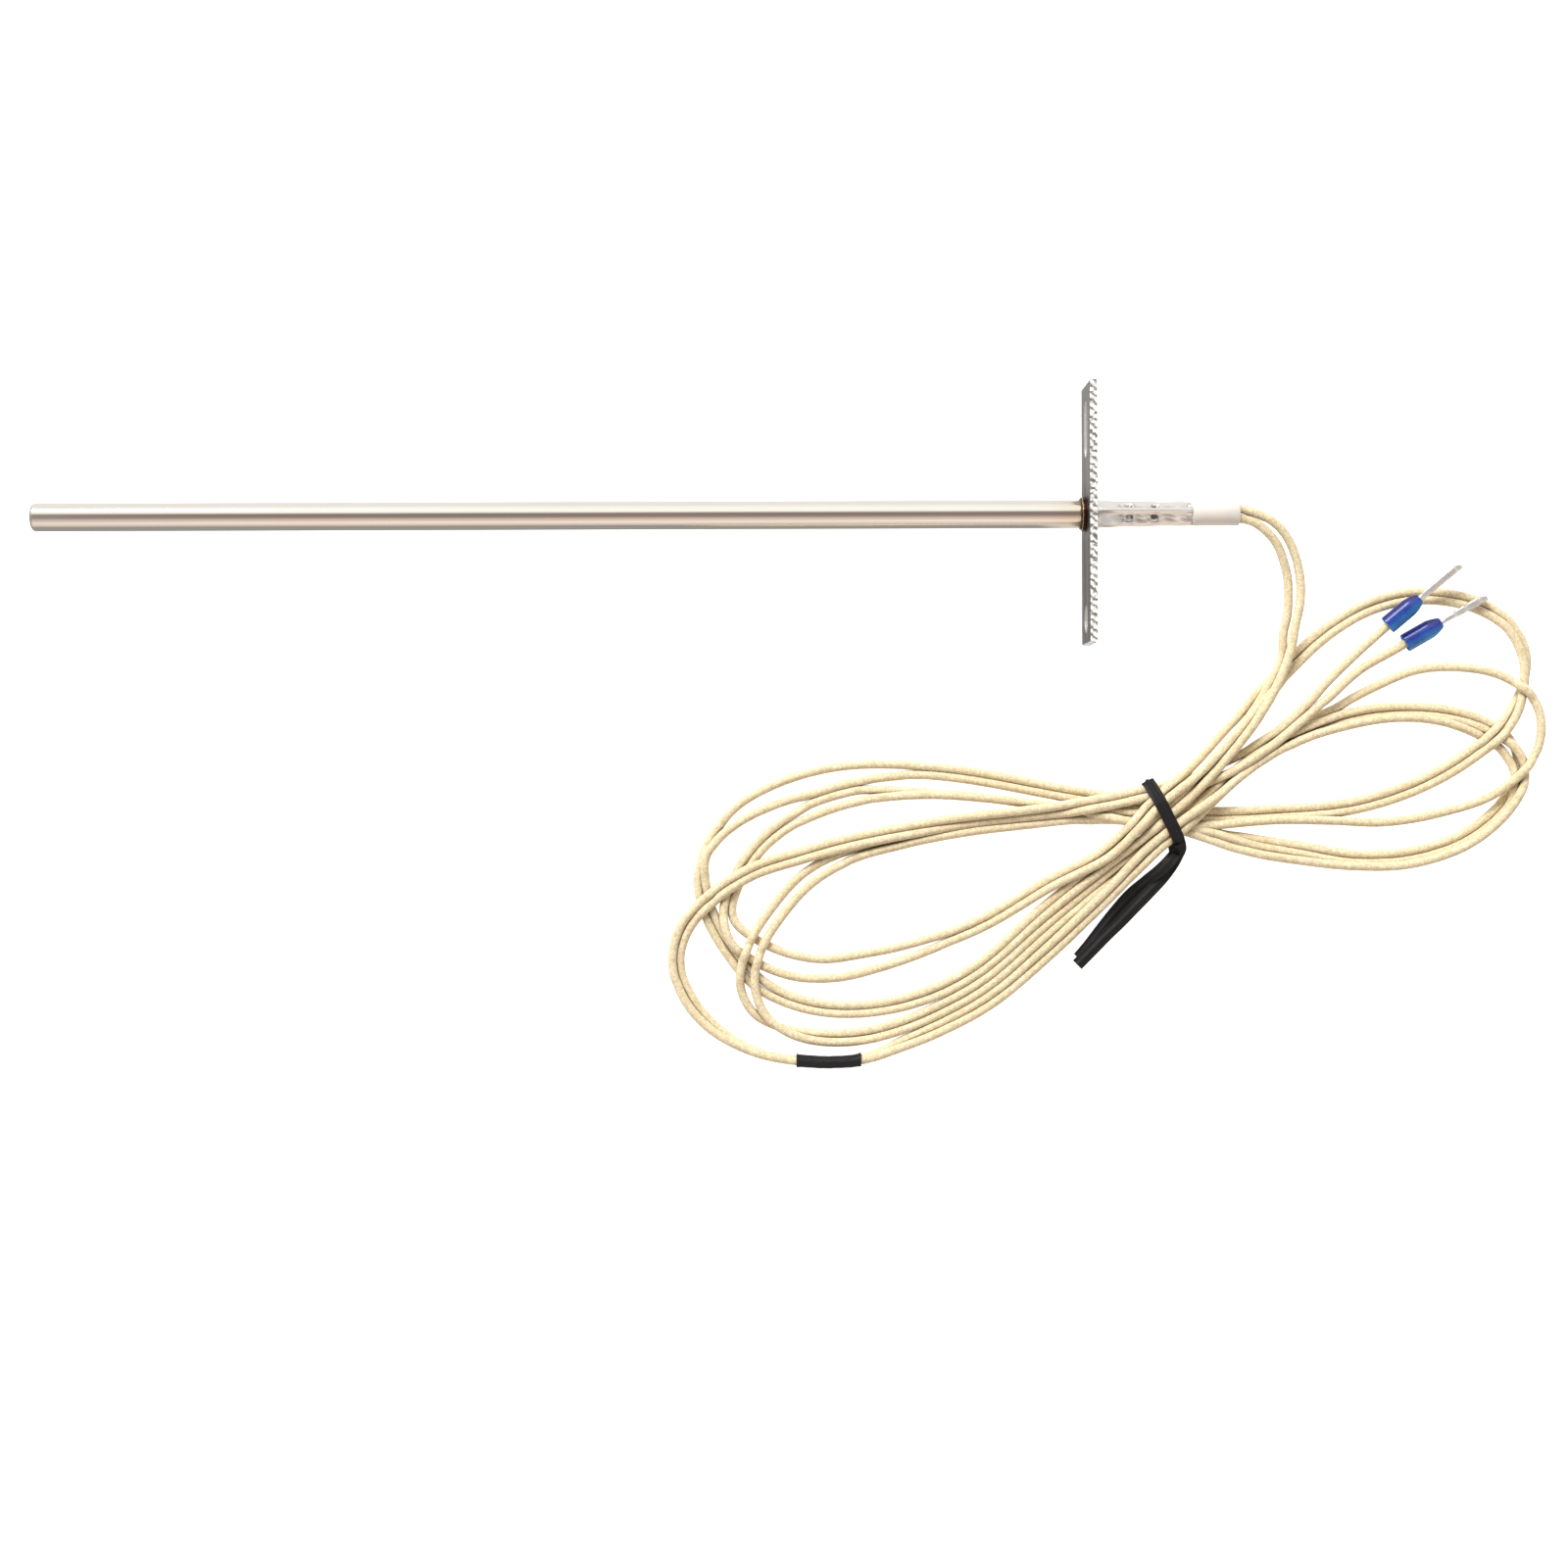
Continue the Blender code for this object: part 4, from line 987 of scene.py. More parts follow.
def tip_finish():
    """The welded end: steel, greyed where it was melted."""
    made, tree, shader = new_finish("welded_end", metallic=1.0)
    place, (x, _, _) = place_of(tree)
    grain = noise_of(tree, place, 1200, 4)
    inward = calc(tree, "DIVIDE", calc(tree, "SUBTRACT", x, TIP_X * MM), 1.2 * MM)
    colour = ramp(
        tree,
        calc(tree, "MULTIPLY_ADD", grain, 0.7, inward),
        (0.35, (0.12, 0.11, 0.10)),
        (0.6, (0.42, 0.39, 0.36)),
        (0.95, (0.82, 0.78, 0.73)),
    )
    paint(tree, shader, colour, scaled(tree, grain, 0.2, 0.42), grain, 0.02)
    return made


def tin_finish(name="crimped_tin", colour=(0.97, 0.96, 0.94), low=0.2, high=0.38):
    """Tinned metal: a patchy colour, and a roughness from low to high."""
    made, tree, shader = new_finish(name, metallic=0.8)
    place, _ = place_of(tree)
    grain = noise_of(tree, place, 2500, 4)
    broad = noise_of(tree, place, 500, 2)
    colour = blend(tree, broad, tuple(0.8 * part for part in colour), colour)
    paint(tree, shader, colour, scaled(tree, grain, low, high), grain, 0.008)
    return made


# ---------------------------------------------------------------- plastics


def white_finish():
    """The white sleeve: satin, faintly yellowed and smudged."""
    made, tree, shader = new_finish("white_sleeving", subsurface_weight=0.8)
    place, _ = place_of(tree)
    broad = noise_of(tree, place, 220, 3)
    fine = noise_of(tree, stretched(tree, place, (600, 5000, 5000)), 1.0, 2)
    colour = blend(tree, broad, srgb(203, 197, 188), srgb(213, 207, 199))
    paint(tree, shader, colour, scaled(tree, fine, 0.42, 0.6), fine, 0.006)
    shader.inputs["Subsurface Radius"].default_value = (0.001, 0.001, 0.001)
    shader.inputs["Subsurface Scale"].default_value = 2.0
    return made


def blue_finish():
    """The ferrules' collars: glossy blue plastic, with painted light: paler and more cyan on the
    side that faces the hank, deep navy on the other.
    """
    made, tree, shader = new_finish("blue_collar", subsurface_weight=0.25)
    place, _ = place_of(tree)
    flow = noise_of(tree, place, 1500, 3)
    broad = noise_of(tree, place, 450, 2)
    # Painted light: the colour follows which way the surface faces, paler towards -y as if lit
    # through the plastic, darker towards +y.
    normal = add(tree, "ShaderNodeNewGeometry").outputs["Normal"]
    facing = add(tree, "ShaderNodeSeparateXYZ", {0: normal}).outputs[1]
    painted_light_side = calc(tree, "MULTIPLY_ADD", facing, -0.55, calc(tree, "MULTIPLY_ADD", broad, 0.4, 0.24))
    colour = ramp(
        tree,
        painted_light_side,
        (0.0, (0.002, 0.006, 0.09)),
        (0.35, (0.010, 0.022, 0.22)),
        (0.6, (0.006, 0.10, 0.37)),
        (0.9, (0.008, 0.24, 0.57)),
    )
    paint(tree, shader, colour, scaled(tree, flow, 0.14, 0.26), flow, 0.006)
    shader.inputs["Subsurface Radius"].default_value = (0.0001, 0.0006, 0.0016)
    shader.inputs["Subsurface Scale"].default_value = 1.0
    shader.inputs["Specular IOR Level"].default_value = 0.5
    shader.inputs["Coat Weight"].default_value = 0.5
    shader.inputs["Coat Roughness"].default_value = 0.2
    return made


def black_finish(name, pale, scale, depth, low, high):
    """Black plastic: up to that pale, with grain so fine and deep, and a roughness range."""
    made, tree, shader = new_finish(name)
    place, _ = place_of(tree)
    grain = noise_of(tree, place, scale, 3)
    broad = noise_of(tree, place, 300, 3)
    colour = blend(tree, broad, (0.006, 0.006, 0.007), pale)
    paint(tree, shader, colour, scaled(tree, grain, low, high), grain, depth)
    shader.inputs["Specular IOR Level"].default_value = 0.25
    return made


def plain_finish(name, colour, rough, metallic, scale):
    """For the parts inside: a colour with grain in it."""
    made, tree, shader = new_finish(name, metallic=metallic)
    place, _ = place_of(tree)
    grain = noise_of(tree, place, scale, 4)
    colour = blend(tree, grain, tuple(0.8 * part for part in colour), colour)
    paint(tree, shader, colour, scaled(tree, grain, rough - 0.08, rough + 0.08), grain, 0.01)
    return made


STEEL = steel_finish()
PLATE = plate_finish()
SHEARED = sheared_finish()
PUNCHED = punched_finish()
WELD = weld_finish()
TIP = tip_finish()
TIN = tin_finish()
WHITE = white_finish()
BLUE = blue_finish()
SHRUNK = black_finish("shrunk_black", (0.018, 0.018, 0.019), 2500, 0.012, 0.38, 0.55)
TIE = black_finish("tie_black", (0.016, 0.0145, 0.0135), 1800, 0.02, 0.4, 0.6)


# ---------------------------------------------------------------- turned pieces


def turned(profile, sides=96):
    """A shape turned about the tube's axis: rows of x and radius."""
    turn = turns(sides)
    return loft(np.array([axis_ring(x, radius, turn) for x, radius in profile]))


def tail_radius(x, turn):
    """The crimped tail's outer radius: four folds between four ridges, with punch marks."""
    turn = turn + TAIL_TWIST
    along = np.clip((x - BACK_X) / TAIL_LENGTH, 0, 1)
    closing = np.clip(along / FOLDING, 0, 1)
    closing = closing * closing * (3 - 2 * closing)
    opening = 1.0 - EASED * np.clip(1 - (1 - along) / EASING, 0, 1)
    ridge = SHEATH_RADIUS + (TAIL_END_RADIUS - SHEATH_RADIUS) * along
    sharpness = 0.5 - 0.5 * np.cos(4 * turn)
    radius = ridge - TAIL_DENT * closing * opening * sharpness**0.6
    # The folds wander, and their walls are wrinkled.
    radius = radius - 0.07 * closing * np.sin(2.3 * (x - BACK_X) + 5 * np.sin(turn)) * sharpness
    radius = radius + 0.05 * closing * np.sin(0.9 * x + 2 * turn) * (1 - sharpness)
    # A fine crease runs along each side of every ridge.
    from_ridge = np.abs((turn + math.pi / 4) % (math.pi / 2) - math.pi / 4) * radius
    radius = radius - 0.07 * closing * np.exp(-(((from_ridge - 0.28) / 0.11) ** 2))
    for index, place in enumerate(DIMPLES):
        for side in range(4):
            facet = math.pi / 4 + side * math.pi / 2
            shift = 0.15 * math.sin(2.1 * side + 1.3 * index)
            around = radius * ((turn - facet + math.pi) % (2 * math.pi) - math.pi)
            off = x - BACK_X - place - shift
            square = (off**4 + around**4) ** 0.25 / DIMPLE_HALF
            broad = np.hypot(off + 0.7, around) / 1.2
            radius = radius - 0.1 * np.exp(-(broad**2)) - DIMPLE_DEPTH / (1 + square**5)
            radius = radius + 0.1 * np.exp(-((square - 1.9) ** 2) * 3)
    return radius


def sheath_shape():
    """The tube with its squeezed tail, and the tail's wall turned in at its mouth."""
    turn = turns(176)
    parts = ([TIP_X + 0.5], np.linspace(TIP_X + 1, FRONT_X - 6, 60))
    plain = np.concatenate([*parts, np.linspace(FRONT_X - 5.5, BACK_X - 0.2, 14)])
    rows = [(x, SHEATH_RADIUS) for x in plain]
    rows += [(x, tail_radius(x, turn)) for x in np.linspace(BACK_X, TAIL_X, 190)]
    mouth = tail_radius(TAIL_X, turn)
    rows += [
        (TAIL_X + 0.04, mouth - 0.1),
        (TAIL_X + 0.02, mouth - (SHEATH_WALL - 0.08)),
        (TAIL_X - 0.1, mouth - SHEATH_WALL),
        (TAIL_X - 3, mouth - SHEATH_WALL),
    ]
    return loft(np.array([axis_ring(x, radius, turn) for x, radius in rows]))


piece("sheath_and_tail", sheath_shape(), STEEL, ["sheath_tube"], sharp=50)


def tip_shape():
    """The tube's closed end, with a rounded corner and a fine seam behind it."""
    corner = 0.62
    profile = [(TIP_X + 0.02, 0.35), (TIP_X, 0.9)]
    for turn in np.linspace(np.pi / 2, 0, 10):
        x = TIP_X + 0.05 + corner * (1 - math.sin(turn))
        profile.append((x, SHEATH_RADIUS - corner + corner * math.cos(turn)))
    profile += [
        (TIP_X + 0.72, SHEATH_RADIUS + 0.015),
        (TIP_X + 0.85, SHEATH_RADIUS - 0.03),
        (TIP_X + 0.95, SHEATH_RADIUS - 0.3),
    ]
    return turned(profile)


piece("welded_tip", tip_shape(), TIP, ["tip_cap"], sharp=50)


def weld_shape():
    """A rippled bead in the corner between the tube and the plate."""
    turn = turns(160)
    low, high = span("flange_weld")
    reach = (high[1] - low[1]) / 2
    wander = 0.06 * np.sin(5 * turn + 0.7) + 0.04 * np.sin(9 * turn)
    beat = np.cos(18 * turn + 1.1 * np.sin(3 * turn))
    sections = []
    for t in np.linspace(0, 1, 28):
        x = FRONT_X - WELD_WIDTH * (1 - t) - wander * (1 - t)
        swell = 0.8 * (1 - (1 - t) ** 5) + 0.2 * t
        radius = SHEATH_RADIUS - 0.04 + WELD_FILL * (reach - SHEATH_RADIUS) * swell
        radius = radius + 0.045 * np.sin(6 * np.pi * t)
        radius = radius + 0.035 * np.sin(np.pi * t) * beat
        sections.append(axis_ring(x, radius, turn))
    sections.append(axis_ring(FRONT_X + 0.3, SHEATH_RADIUS - 0.1, turn))
    return loft(np.array(sections), ring=True)


piece("weld_bead", weld_shape(), WELD, ["flange_weld"], sharp=60)


def sleeve_shape():
    """The white sleeve, from inside the tail's mouth to the leads' exit."""
    low, high = span("insulating_sleeve")
    outer = (high[1] - low[1]) / 2
    hidden = TAIL_X - 0.6
    in_tail = TAIL_END_RADIUS - SHEATH_WALL - 0.06
    profile = [(hidden, 1.4), (hidden, in_tail), (TAIL_X + 0.05, in_tail)]
    profile += [(TAIL_X + 0.22, outer - 0.06), (TAIL_X + 0.5, outer)]
    profile += [(x, outer) for x in np.linspace(TAIL_X + 1.2, MOUTH_X - 0.4, 8)]
    profile += [(MOUTH_X - 0.12, outer - 0.04), (MOUTH_X, outer - 0.16)]
    profile += [(MOUTH_X - 0.03, outer - 0.3), (MOUTH_X - 0.5, outer - 0.36)]
    profile += [(MOUTH_X - 2.2, outer - 0.5), (MOUTH_X - 2.4, 0.3)]
    points, faces = turned(profile)
    # The tube is a little flattened round the two leads.
    ease = np.clip((points[:, 0] - TAIL_X) / (MOUTH_X - TAIL_X), 0, 1) ** 2
    points[:, 2] = AXIS_Z + (points[:, 2] - AXIS_Z) * (1 - 0.1 * ease)
    return points, faces


shape = sleeve_shape()
piece("white_sleeve_tube", shape, WHITE, ["insulating_sleeve"], sharp=50)


# ---------------------------------------------------------------- flange


def edge_points(a, b):
    """Points along an edge of the plate, without its last."""
    count = max(2, round(np.linalg.norm(np.subtract(b, a)) / SHEAR_STEP))
    share = np.arange(count)[:, None] / count
    return np.array(a) + share * (np.array(b) - np.array(a))


def plate_loops():
    """The plate's outline, slot, hole and tube hole, as rows of y and z."""
    low, high = PLATE_LOW, PLATE_HIGH
    corners = [(low[1], low[2]), (high[1], low[2]), (high[1], high[2]), (low[1], high[2])]
    outline = [edge_points(corners[i], corners[(i + 1) % 4]) for i in range(4)]
    radius = SLOT_WIDTH / 2
    reach = SLOT_LENGTH / 2 - radius
    slot = [
        (
            SLOT_Y + side * (reach + radius * math.cos(turn)),
            AXIS_Z + side * radius * math.sin(turn),
        )
        for side in (1, -1)
        for turn in np.linspace(-np.pi / 2, np.pi / 2, 28)
    ]
    hole = axis_ring(0, HOLE_RADIUS, turns(56))[:, 1:] + (HOLE_Y, 0)
    tube = axis_ring(0, SHEATH_RADIUS - 0.05, turns(56))[:, 1:]
    return [np.concatenate(outline), np.array(slot), hole, tube]


def torn(run, share):
    """How far out the sheared edge lies, along its run and that share of the way through."""
    wander = np.array([noise.noise(Vector((s * 0.9, 3.1, share * 0.8))) for s in run])
    rough = np.array([noise.noise(Vector((s * 4.0, 9.0, share * 3.0))) for s in run])
    beat = np.abs(((run + 0.5 * share) / SHEAR_PITCH + 0.9 * wander) % 1 - 0.5) * 2
    tear = SHEAR_DEPTH * (beat - 1) * (0.75 + 0.9 * rough) + 0.08 * rough
    lip = 0.0 if share < 0.93 else 0.08
    return np.minimum(tear - 0.06 * (share == 0) - 0.03 + lip, 0.05)


def plate_walls(loop, sheared):
    """A loop's sections through the plate: torn if sheared, or else rounded at both faces."""
    if sheared:
        ahead = np.roll(loop, -1, 0) - np.roll(loop, 1, 0)
        normal = unit(np.stack([ahead[:, 1], -ahead[:, 0]], 1))
    else:
        normal = -unit(loop - loop.mean(0))
    steps = np.linalg.norm(np.diff(loop, axis=0), axis=1)
    run = np.concatenate([[0], np.cumsum(steps)])
    sections = []
    for share in LAYERS:
        rounding = -0.05 if share in (0, 1) else 0.0
        offset = torn(run, share) if sheared else np.full(len(loop), rounding)
        x = np.full(len(loop), FRONT_X + share * (BACK_X - FRONT_X))
        sections.append(np.column_stack([x, loop + normal * offset[:, None]]))
    return np.array(sections)


def flange_shape():
    """The plate with torn edges and its openings, and the finish of each face."""
    parts = [plate_walls(loop, index == 0) for index, loop in enumerate(plate_loops())]
    shapes, kinds = [], []
    for kind, sections in zip(EDGE_KINDS, parts, strict=True):
        shapes.append(loft(sections, caps=False))
        kinds += [kind] * len(shapes[-1][1])
    for layer in (0, -1):
        flat = [[Vector((y, z, 0)) for _, y, z in sections[layer]] for sections in parts]
        faces = [list(corners) for corners in geometry.tessellate_polygon(flat)]
        shapes.append((np.concatenate([sections[layer] for sections in parts]), faces))
        kinds += [ON_FACE] * len(faces)
    return joined(*shapes), kinds


shape, kinds = flange_shape()
finishes = [PLATE, SHEARED, PUNCHED]
flange = piece("flange_sheared", shape, finishes, ["flange_plate"], sharp=0)
work = bmesh.new()
work.from_mesh(flange.data)
for face, kind in zip(work.faces, kinds, strict=True):
    face.material_index = kind
bmesh.ops.remove_doubles(work, verts=work.verts, dist=1e-7)
bmesh.ops.recalc_face_normals(work, faces=work.faces)
break_edges(work, 48)
work.to_mesh(flange.data)
work.free()


# ---------------------------------------------------------------- ferrules


def along_ferrule(number, profile, sides, section=None):
    """A shape along a ferrule's axis: rows of distance and radius, with the section's shape."""
    place, ahead, side, up = ferrule_axes(number)
    turn = turns(sides)
    sections = []
    for distance, radius in profile:
        reach = radius * section(distance, turn) if section else radius
        wide = (reach * np.cos(turn))[:, None] * side
        high = (reach * np.sin(turn))[:, None] * up
        sections.append(place + distance * ahead + wide + high)
    return loft(np.array(sections))


def collar_shape(number):
    """The plastic collar: open at its rear, with a long taper down to the pin."""
    wall = 0.32
    radius = COLLAR_RADIUS
    profile = [(1.6, 0.82), (1.4, radius - wall - 0.12), (0.1, radius - wall + 0.06)]
    profile += [(0, radius - wall + 0.14), (-0.02, radius - 0.08), (0.06, radius)]
    profile += [(x, radius - 0.005 * x) for x in np.linspace(0.5, 4.6, 8)]
    for t in np.linspace(0, 1, 12)[1:]:
        narrowing = 0.3 * t + 0.7 * t**1.8
        profile.append((4.6 + 2.2 * t, radius - 0.02 + (0.98 - radius) * narrowing))
    profile += [(6.86, 0.93), (6.98, 0.8), (COLLAR_LENGTH, 0.62)]
    return along_ferrule(number, profile, 72)


def crimped(distance, turn):
    """A pin's section: round at its ends, squeezed square by the crimping tool between them."""
    done = (distance - COLLAR_LENGTH) / PIN_LENGTH
    share = np.clip((done - 0.05) / 0.06, 0, 1) * np.clip((0.97 - done) / 0.05, 0, 1)
    square = 1.0 / (np.abs(np.cos(turn)) ** 5 + np.abs(np.sin(turn)) ** 5) ** 0.2
    beat = 0.5 - 0.5 * math.cos(2 * math.pi * (distance - COLLAR_LENGTH) / CRIMP_PITCH)
    bite = np.clip(beat * 2.2 - 0.7, 0, 1)
    tooth = 1 - 0.2 * bite * np.clip(-np.sin(turn - 0.6) + 0.25, 0, 1)
    return 1 + share * (square * tooth * 0.95 - 1)


def pin_shape(number):
    """The crimped pin, with its mouth open at the far end."""
    start = COLLAR_LENGTH - 0.25
    end = COLLAR_LENGTH + PIN_LENGTH
    places = np.linspace(start + 0.1, end - 0.08, 130)
    along, share = np.array(PIN_STEPS[number]).T
    sizes = PIN_RADIUS * np.interp((places - COLLAR_LENGTH) / PIN_LENGTH, along, share)
    last = sizes[-1]
    profile = [(start, 0.3), (start, PIN_RADIUS * share[0])]
    profile += zip(places, sizes, strict=True)
    profile += [(end, last - 0.05), (end, last - 0.13), (end - 0.12, last - 0.17)]
    profile.append((end - 0.3, 0.2))
    return along_ferrule(number, profile, 48, crimped)


def strands_shape(number):
    """The seven wires whose ends show in the pin's mouth."""
    place, ahead, side, up = ferrule_axes(number)
    end = COLLAR_LENGTH + PIN_LENGTH
    parts = []
    for k in range(7):
        off = 0 if k == 0 else 0.23
        turn = k * math.pi / 3
        centre = place + off * math.cos(turn) * side + off * math.sin(turn) * up
        tip = end - 0.02 + 0.03 * math.sin(2.2 * k)
        line = centre + np.array([[end - 0.7], [end - 0.3], [tip]]) * ahead
        parts.append(loft(rings(line, (0.112, 0.112, 0.095), 10)))
    return joined(*parts)


for index, number in enumerate((1, 2)):
    shape, nodes = collar_shape(index), [f"ferrule_collar_{number}"]
    piece(f"blue_collar_{number}", shape, BLUE, nodes, sharp=45)
    shape, nodes = pin_shape(index), [f"ferrule_pin_{number}"]
    piece(f"crimped_pin_{number}", shape, TIN, nodes)

COPPER = tin_finish("bare_strands", (0.72, 0.68, 0.60), 0.25, 0.4)
for index, number in enumerate((1, 2)):
    shape, nodes = strands_shape(index), [f"conductor_end_{number}"]
    piece(f"strand_ends_{number}", shape, COPPER, nodes)


# ---------------------------------------------------------------- marker and tie


def marker_section(x, turn):
    """The marker's section at x, and a smaller one inside it."""
    ends = MARKER_START[0], MARKER_START[0] + MARKER_LENGTH
    near = []
    for line in leads_lie:
        passing = (np.abs(line[:, 0] - x) < 0.3) & (line[:, 1] < MARKER_START[1] + 1.5)
        near.append(line[passing, 1:].mean(0))
    wall = LEAD_RADIUS + 0.22 + 0.1 * sum(math.exp(-((x - end) ** 2) / 0.15) for end in ends)
    ways = np.stack([np.cos(turn), np.sin(turn)], 1)
    support = (ways @ np.array(near).T).max(1) + wall
    wrapped = np.concatenate([support[-3:], support, support[:3]])
    slope = np.gradient(wrapped, turn[1])[3:-3]
    crease = 0.03 * np.sin(x * 2.3 + 3 * turn) * np.sin(turn * 2 + x)
    y = (support + crease) * np.cos(turn) - slope * np.sin(turn)
    z = (support + crease) * np.sin(turn) + slope * np.cos(turn)
    z = np.maximum(z, 0.02)
    middle = np.mean(near, axis=0)
    inner_y = middle[0] + (y - middle[0]) * 0.84
    inner_z = middle[1] + (z - middle[1]) * 0.9
    x = np.full(len(turn), x)
    return np.column_stack([x, y, z]), np.column_stack([x, inner_y, inner_z])


def marker_shape():
    """Black sleeve shrunk over the two strands that pass it, one above the other."""
    start = MARKER_START[0]
    pairs = [
        marker_section(x, turns(56)) for x in np.linspace(start, start + MARKER_LENGTH, 40)
    ]
    first, last = pairs[0][1], pairs[-1][1]
    outer = [section for section, _ in pairs]
    return loft(np.array([first + (0.5, 0, 0), first, *outer, last, last - (0.5, 0, 0)]))


piece("shrunk_marker", marker_shape(), SHRUNK, ["marker_sleeve"], sharp=50)


def waist_strands():
    """Points on the strands inside the tie: how far across the hank, and how high."""
    found = []
    for line in leads_lie:
        offset = line[:, :2] - WAIST
        along, across = offset @ WAIST_ALONG, offset @ WAIST_OUT
        inside = (np.abs(along) < TIE_WIDTH / 2) & (np.abs(across) < 8)
        found.append(np.column_stack([across[inside], line[inside, 2]]))
    return np.concatenate(found)


def hull(points):
    """The convex outline of points in a plane, anticlockwise."""
    points = sorted(map(tuple, points))
    halves = []
    for run in (points, points[::-1]):
        half = []
        for p in run:
            while len(half) > 1:
                (ax, ay), (bx, by) = half[-2], half[-1]
                if (bx - ax) * (p[1] - ay) - (by - ay) * (p[0] - ax) > 0:
                    break
                half.pop()
            half.append(p)
        halves += half[:-1]
    return np.array(halves)


def tie_path():
    """The tie's course: front tail, over the hank, under it, rear tail.

    Each row is a place and the direction of the tie's width.
    """
    strands = waist_strands()
    turn = turns(24)
    reach = LEAD_RADIUS + TIE_THICKNESS * 0.42
    round_each = strands[:, None] + reach * np.stack([np.cos(turn), np.sin(turn)], 1)
    around = hull(round_each.reshape(-1, 2))
    around = even(np.concatenate([around, around[:1]]), 0.9)[:-1]
    around[:, 1] = np.maximum(around[:, 1], TIE_THICKNESS / 2)
    # It starts where the outer side meets the floor's height and runs back over the top.
    right = around[:, 0].max()
    height = around[:, 1].max() * 0.62
    start = np.argmin(np.hypot(around[:, 0] - right, around[:, 1] - height))
    around = np.roll(around, -start, axis=0)
    stop = np.argmin(np.hypot(around[:, 0] - right + 0.9, around[:, 1] - TIE_THICKNESS / 2))
    loop = [
        (*(WAIST + across * WAIST_OUT), height, *WAIST_ALONG, 0)
        for across, height in around[: stop + 1]
    ]
    return [*TIE_FRONT[::-1], *loop, *TIE_REAR]


def ribbon(path, outline):
    """A strip with that outline along a path of places and directions of its width."""
    line = smooth_line(path, 0.22)
    place, wide = line[:, :3], line[:, 3:]
    ahead = unit(np.gradient(place, axis=0))
    wide = unit(wide - ahead * (wide * ahead).sum(1, keepdims=True))
    thick = np.cross(ahead, wide)
    sections = (
        place[:, None]
        + wide[:, None] * outline[None, :, :1]
        + thick[:, None] * outline[None, :, 1:]
    )
    return loft(sections)


# A quarter of the tie's outline: a flat wing beside the wire in its middle.
wing = np.array(((1.0, 0.0), (0.97, 0.16), (0.62, 0.2), (0.34, 0.3), (0.16, 0.86), (0.0, 1.0)))
quarters = wing, wing[-2::-1] * (-1, 1), wing[1:] * (-1, -1), wing[-2:0:-1] * (1, -1)
outline = np.concatenate(quarters) * (TIE_WIDTH / 2, TIE_THICKNESS / 2)
shape = ribbon(tie_path(), outline)
piece("twist_tie_strip", shape, TIE, ["twist_tie"], sharp=55)


# ---------------------------------------------------------------- parts inside


INSIDE = {
    "ceramic_insulator_": plain_finish("alumina_tube", (0.85, 0.82, 0.74), 0.55, 0.0, 1500),
    "cement_plug": plain_finish("set_cement", (0.72, 0.70, 0.64), 0.85, 0.0, 2500),
    "magnesia_packing": plain_finish("pressed_magnesia", (0.88, 0.87, 0.84), 0.9, 0.0, 2500),
    "junction_bead": WELD,
    "thermo_wire_positive": plain_finish("positive_wire", (0.50, 0.49, 0.47), 0.35, 1.0, 2000),
    "thermo_wire_negative": plain_finish("negative_wire", (0.42, 0.42, 0.43), 0.4, 1.0, 2000),
    "splice_barrel_": TIN,
    "splice_sleeve_": WHITE,
    "lead_core_": TIN,
}
for name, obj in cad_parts.items():
    for start, finish in INSIDE.items():
        if name.startswith(start):
            obj.data.materials.clear()
            obj.data.materials.append(finish)


# ---------------------------------------------------------------- the pieces that go with each lead


for number, (lead, line) in enumerate(zip(leads, leads_lie, strict=True), 1):
    with_pieces = [f"blue_collar_{number}", f"crimped_pin_{number}", f"strand_ends_{number}"]
    if number == 1:
        with_pieces += ["shrunk_marker", "twist_tie_strip"]


# ---------------------------------------------------------------- floor, light and camera


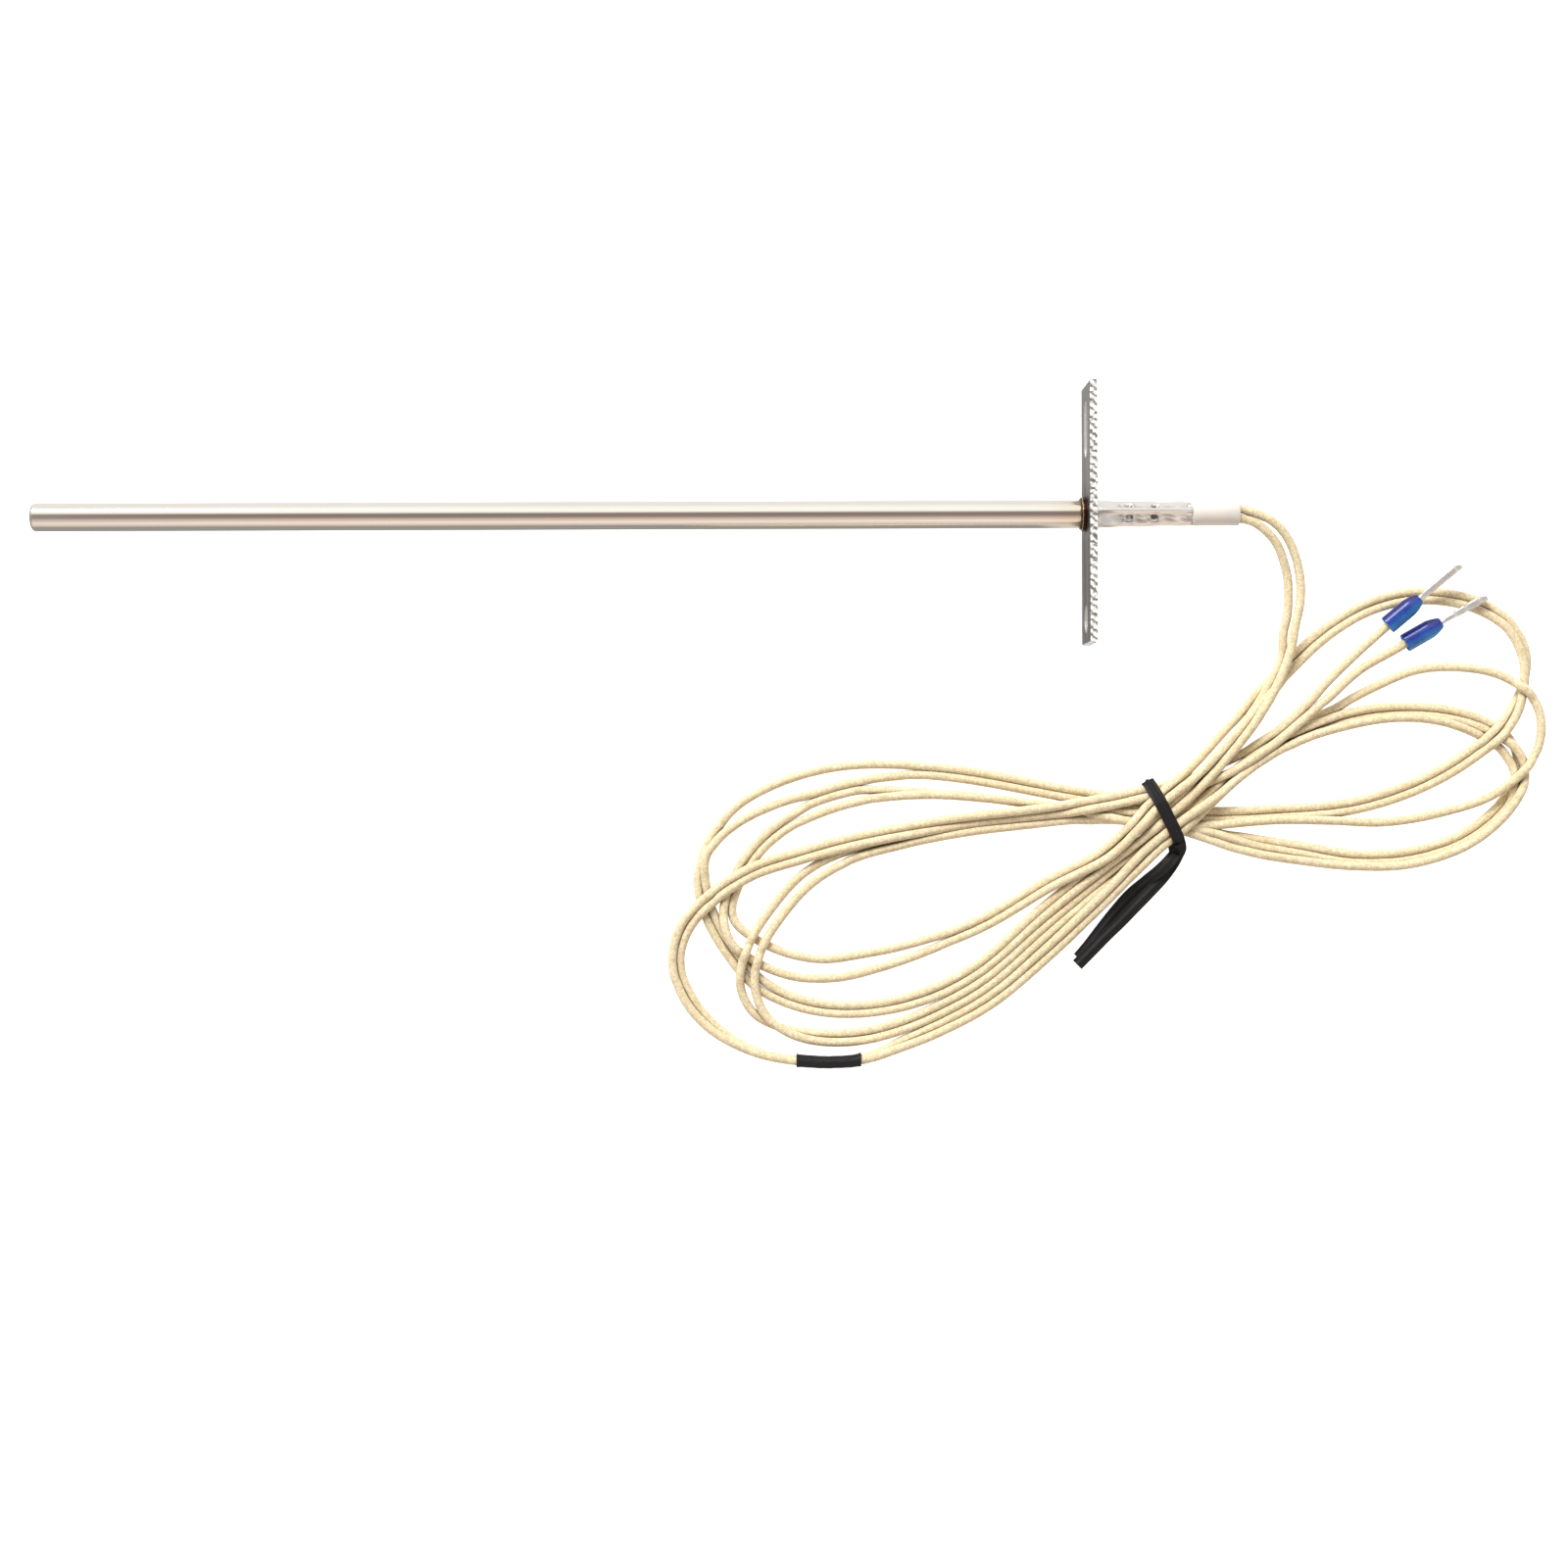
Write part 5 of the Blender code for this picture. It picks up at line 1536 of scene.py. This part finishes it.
def floor():
    """A white table. Polished metal sees a grey painted shadow on it, along both sides of the
    probe.
    """
    mesh = bpy.data.meshes.new("floor")
    corners = [(FLOOR_HALF * x, FLOOR_HALF * y, 0) for x, y in ((-1, -1), (1, -1), (1, 1), (-1, 1))]
    mesh.from_pydata(corners, [], [(0, 1, 2, 3)])
    made = bpy.data.objects.new("floor", mesh)
    finish, tree, shader = new_finish("pale_floor", roughness=0.9)
    place, (x, y, _) = place_of(tree)
    grain = noise_of(tree, place, 400, 2)
    colour = blend(tree, grain, (0.50, 0.50, 0.50), (0.52, 0.52, 0.52))
    put(tree, shader.inputs["Base Color"], colour)
    shader.inputs["Specular IOR Level"].default_value = 0.0
    shader.inputs["Emission Color"].default_value = (1, 1, 1, 1)
    shader.inputs["Emission Strength"].default_value = FLOOR_GLOW
    # Painted shadow: grey on both sides of the probe, only in what glossy rays see of the floor,
    # and weaker near the plate.
    across = calc(tree, "MULTIPLY_ADD", y, 1 / (REFLECTED_SHADOW_SPAN * MM), 0.5)
    edges = ((0.3, 1.0), (0.46, 0.0), (0.54, 0.0), (0.58, 0.9), (0.70, 0.9), (0.80, 0.0))
    in_reflected_shadow = ramp(tree, across, *edges)
    from_plate = calc(tree, "SUBTRACT", x, (FRONT_X + BACK_X) / 2 * MM)
    away = calc(tree, "DIVIDE", calc(tree, "ABSOLUTE", from_plate), PLATE_SHADE * MM)
    clear_of_plate = ramp(tree, away, (0.4, 0.35), (0.9, 1.0))
    greyed = calc(tree, "MULTIPLY", in_reflected_shadow, clear_of_plate)
    reflected_shadow_glow = add(tree, "ShaderNodeEmission", {"Strength": 1.0})
    put(tree, reflected_shadow_glow.inputs["Color"], blend(tree, greyed, FLOOR_IN_METAL, REFLECTED_SHADOW_GREY))
    mirrored = add(tree, "ShaderNodeLightPath").outputs["Is Glossy Ray"]
    inputs = {0: mirrored, 1: shader.outputs[0], 2: reflected_shadow_glow.outputs[0]}
    seen = add(tree, "ShaderNodeMixShader", inputs).outputs[0]
    put(tree, tree.nodes["Material Output"].inputs["Surface"], seen)
    mesh.materials.append(finish)
    bpy.context.scene.collection.objects.link(made)


def surroundings():
    """A studio as bands of light round the tube's axis, dimmer towards its two ends."""
    world = bpy.data.worlds.new("studio")
    world.use_nodes = True
    tree = world.node_tree
    background = tree.nodes["Background"]
    way = add(tree, "ShaderNodeTexCoord").outputs["Generated"]
    x, y, z = add(tree, "ShaderNodeSeparateXYZ", {0: way}).outputs
    lean = calc(tree, "ARCTAN2", y, z)
    share = calc(tree, "MULTIPLY_ADD", lean, 1 / (2 * math.pi), 0.5)
    light = ramp(tree, share, *((0.5 + degrees / 360, colour) for degrees, colour in BANDS))
    ends = ramp(tree, calc(tree, "ABSOLUTE", x), (0.24, 0.0), (0.5, 1.0))
    light = blend(tree, ends, light, END_LIGHT)
    toward = add(tree, "ShaderNodeVectorMath", {0: way, 1: GLINT_WAY}, operation="DOT_PRODUCT")
    glint = ramp(tree, toward.outputs["Value"], (0.965, 0.0), (0.985, 1.0))
    light = blend(tree, glint, light, GLINT_LIGHT)
    low = calc(tree, "MULTIPLY", calc(tree, "ABSOLUTE", z), 20.0)
    low = add(tree, "ShaderNodeClamp", {0: calc(tree, "SUBTRACT", 1.0, low)}).outputs[0]
    put(tree, background.inputs["Color"], blend(tree, low, light, HORIZON_LIGHT))
    background.inputs["Strength"].default_value = 1.0
    bpy.context.scene.world = world


def lamp():
    """One soft box over the far side. Metal shows the studio's bands, and not the lamp."""
    data = bpy.data.lights.new("key", "AREA")
    data.shape = "RECTANGLE"
    data.size, data.size_y = LAMP_SIZE
    data.energy = LAMP_WATTS
    made = bpy.data.objects.new("key", data)
    made.location = LAMP_PLACE
    aim = Vector(LAMP_AIM) - Vector(LAMP_PLACE)
    made.rotation_euler = aim.to_track_quat("-Z", "Y").to_euler()
    made.visible_glossy = False
    bpy.context.scene.collection.objects.link(made)


def camera():
    """The camera, straight above and turned a little, with everything in focus."""
    data = bpy.data.cameras.new("camera")
    data.sensor_fit = "HORIZONTAL"
    data.angle = CAMERA_ANGLE
    data.clip_start = 0.01
    data.clip_end = 20
    data.dof.use_dof = False
    made = bpy.data.objects.new("camera", data)
    made.location = CAMERA_PLACE
    made.rotation_euler = (0, 0, CAMERA_TURN)
    bpy.context.scene.collection.objects.link(made)
    bpy.context.scene.camera = made


floor()
surroundings()
lamp()
camera()
bpy.context.scene.view_settings.view_transform = "Standard"
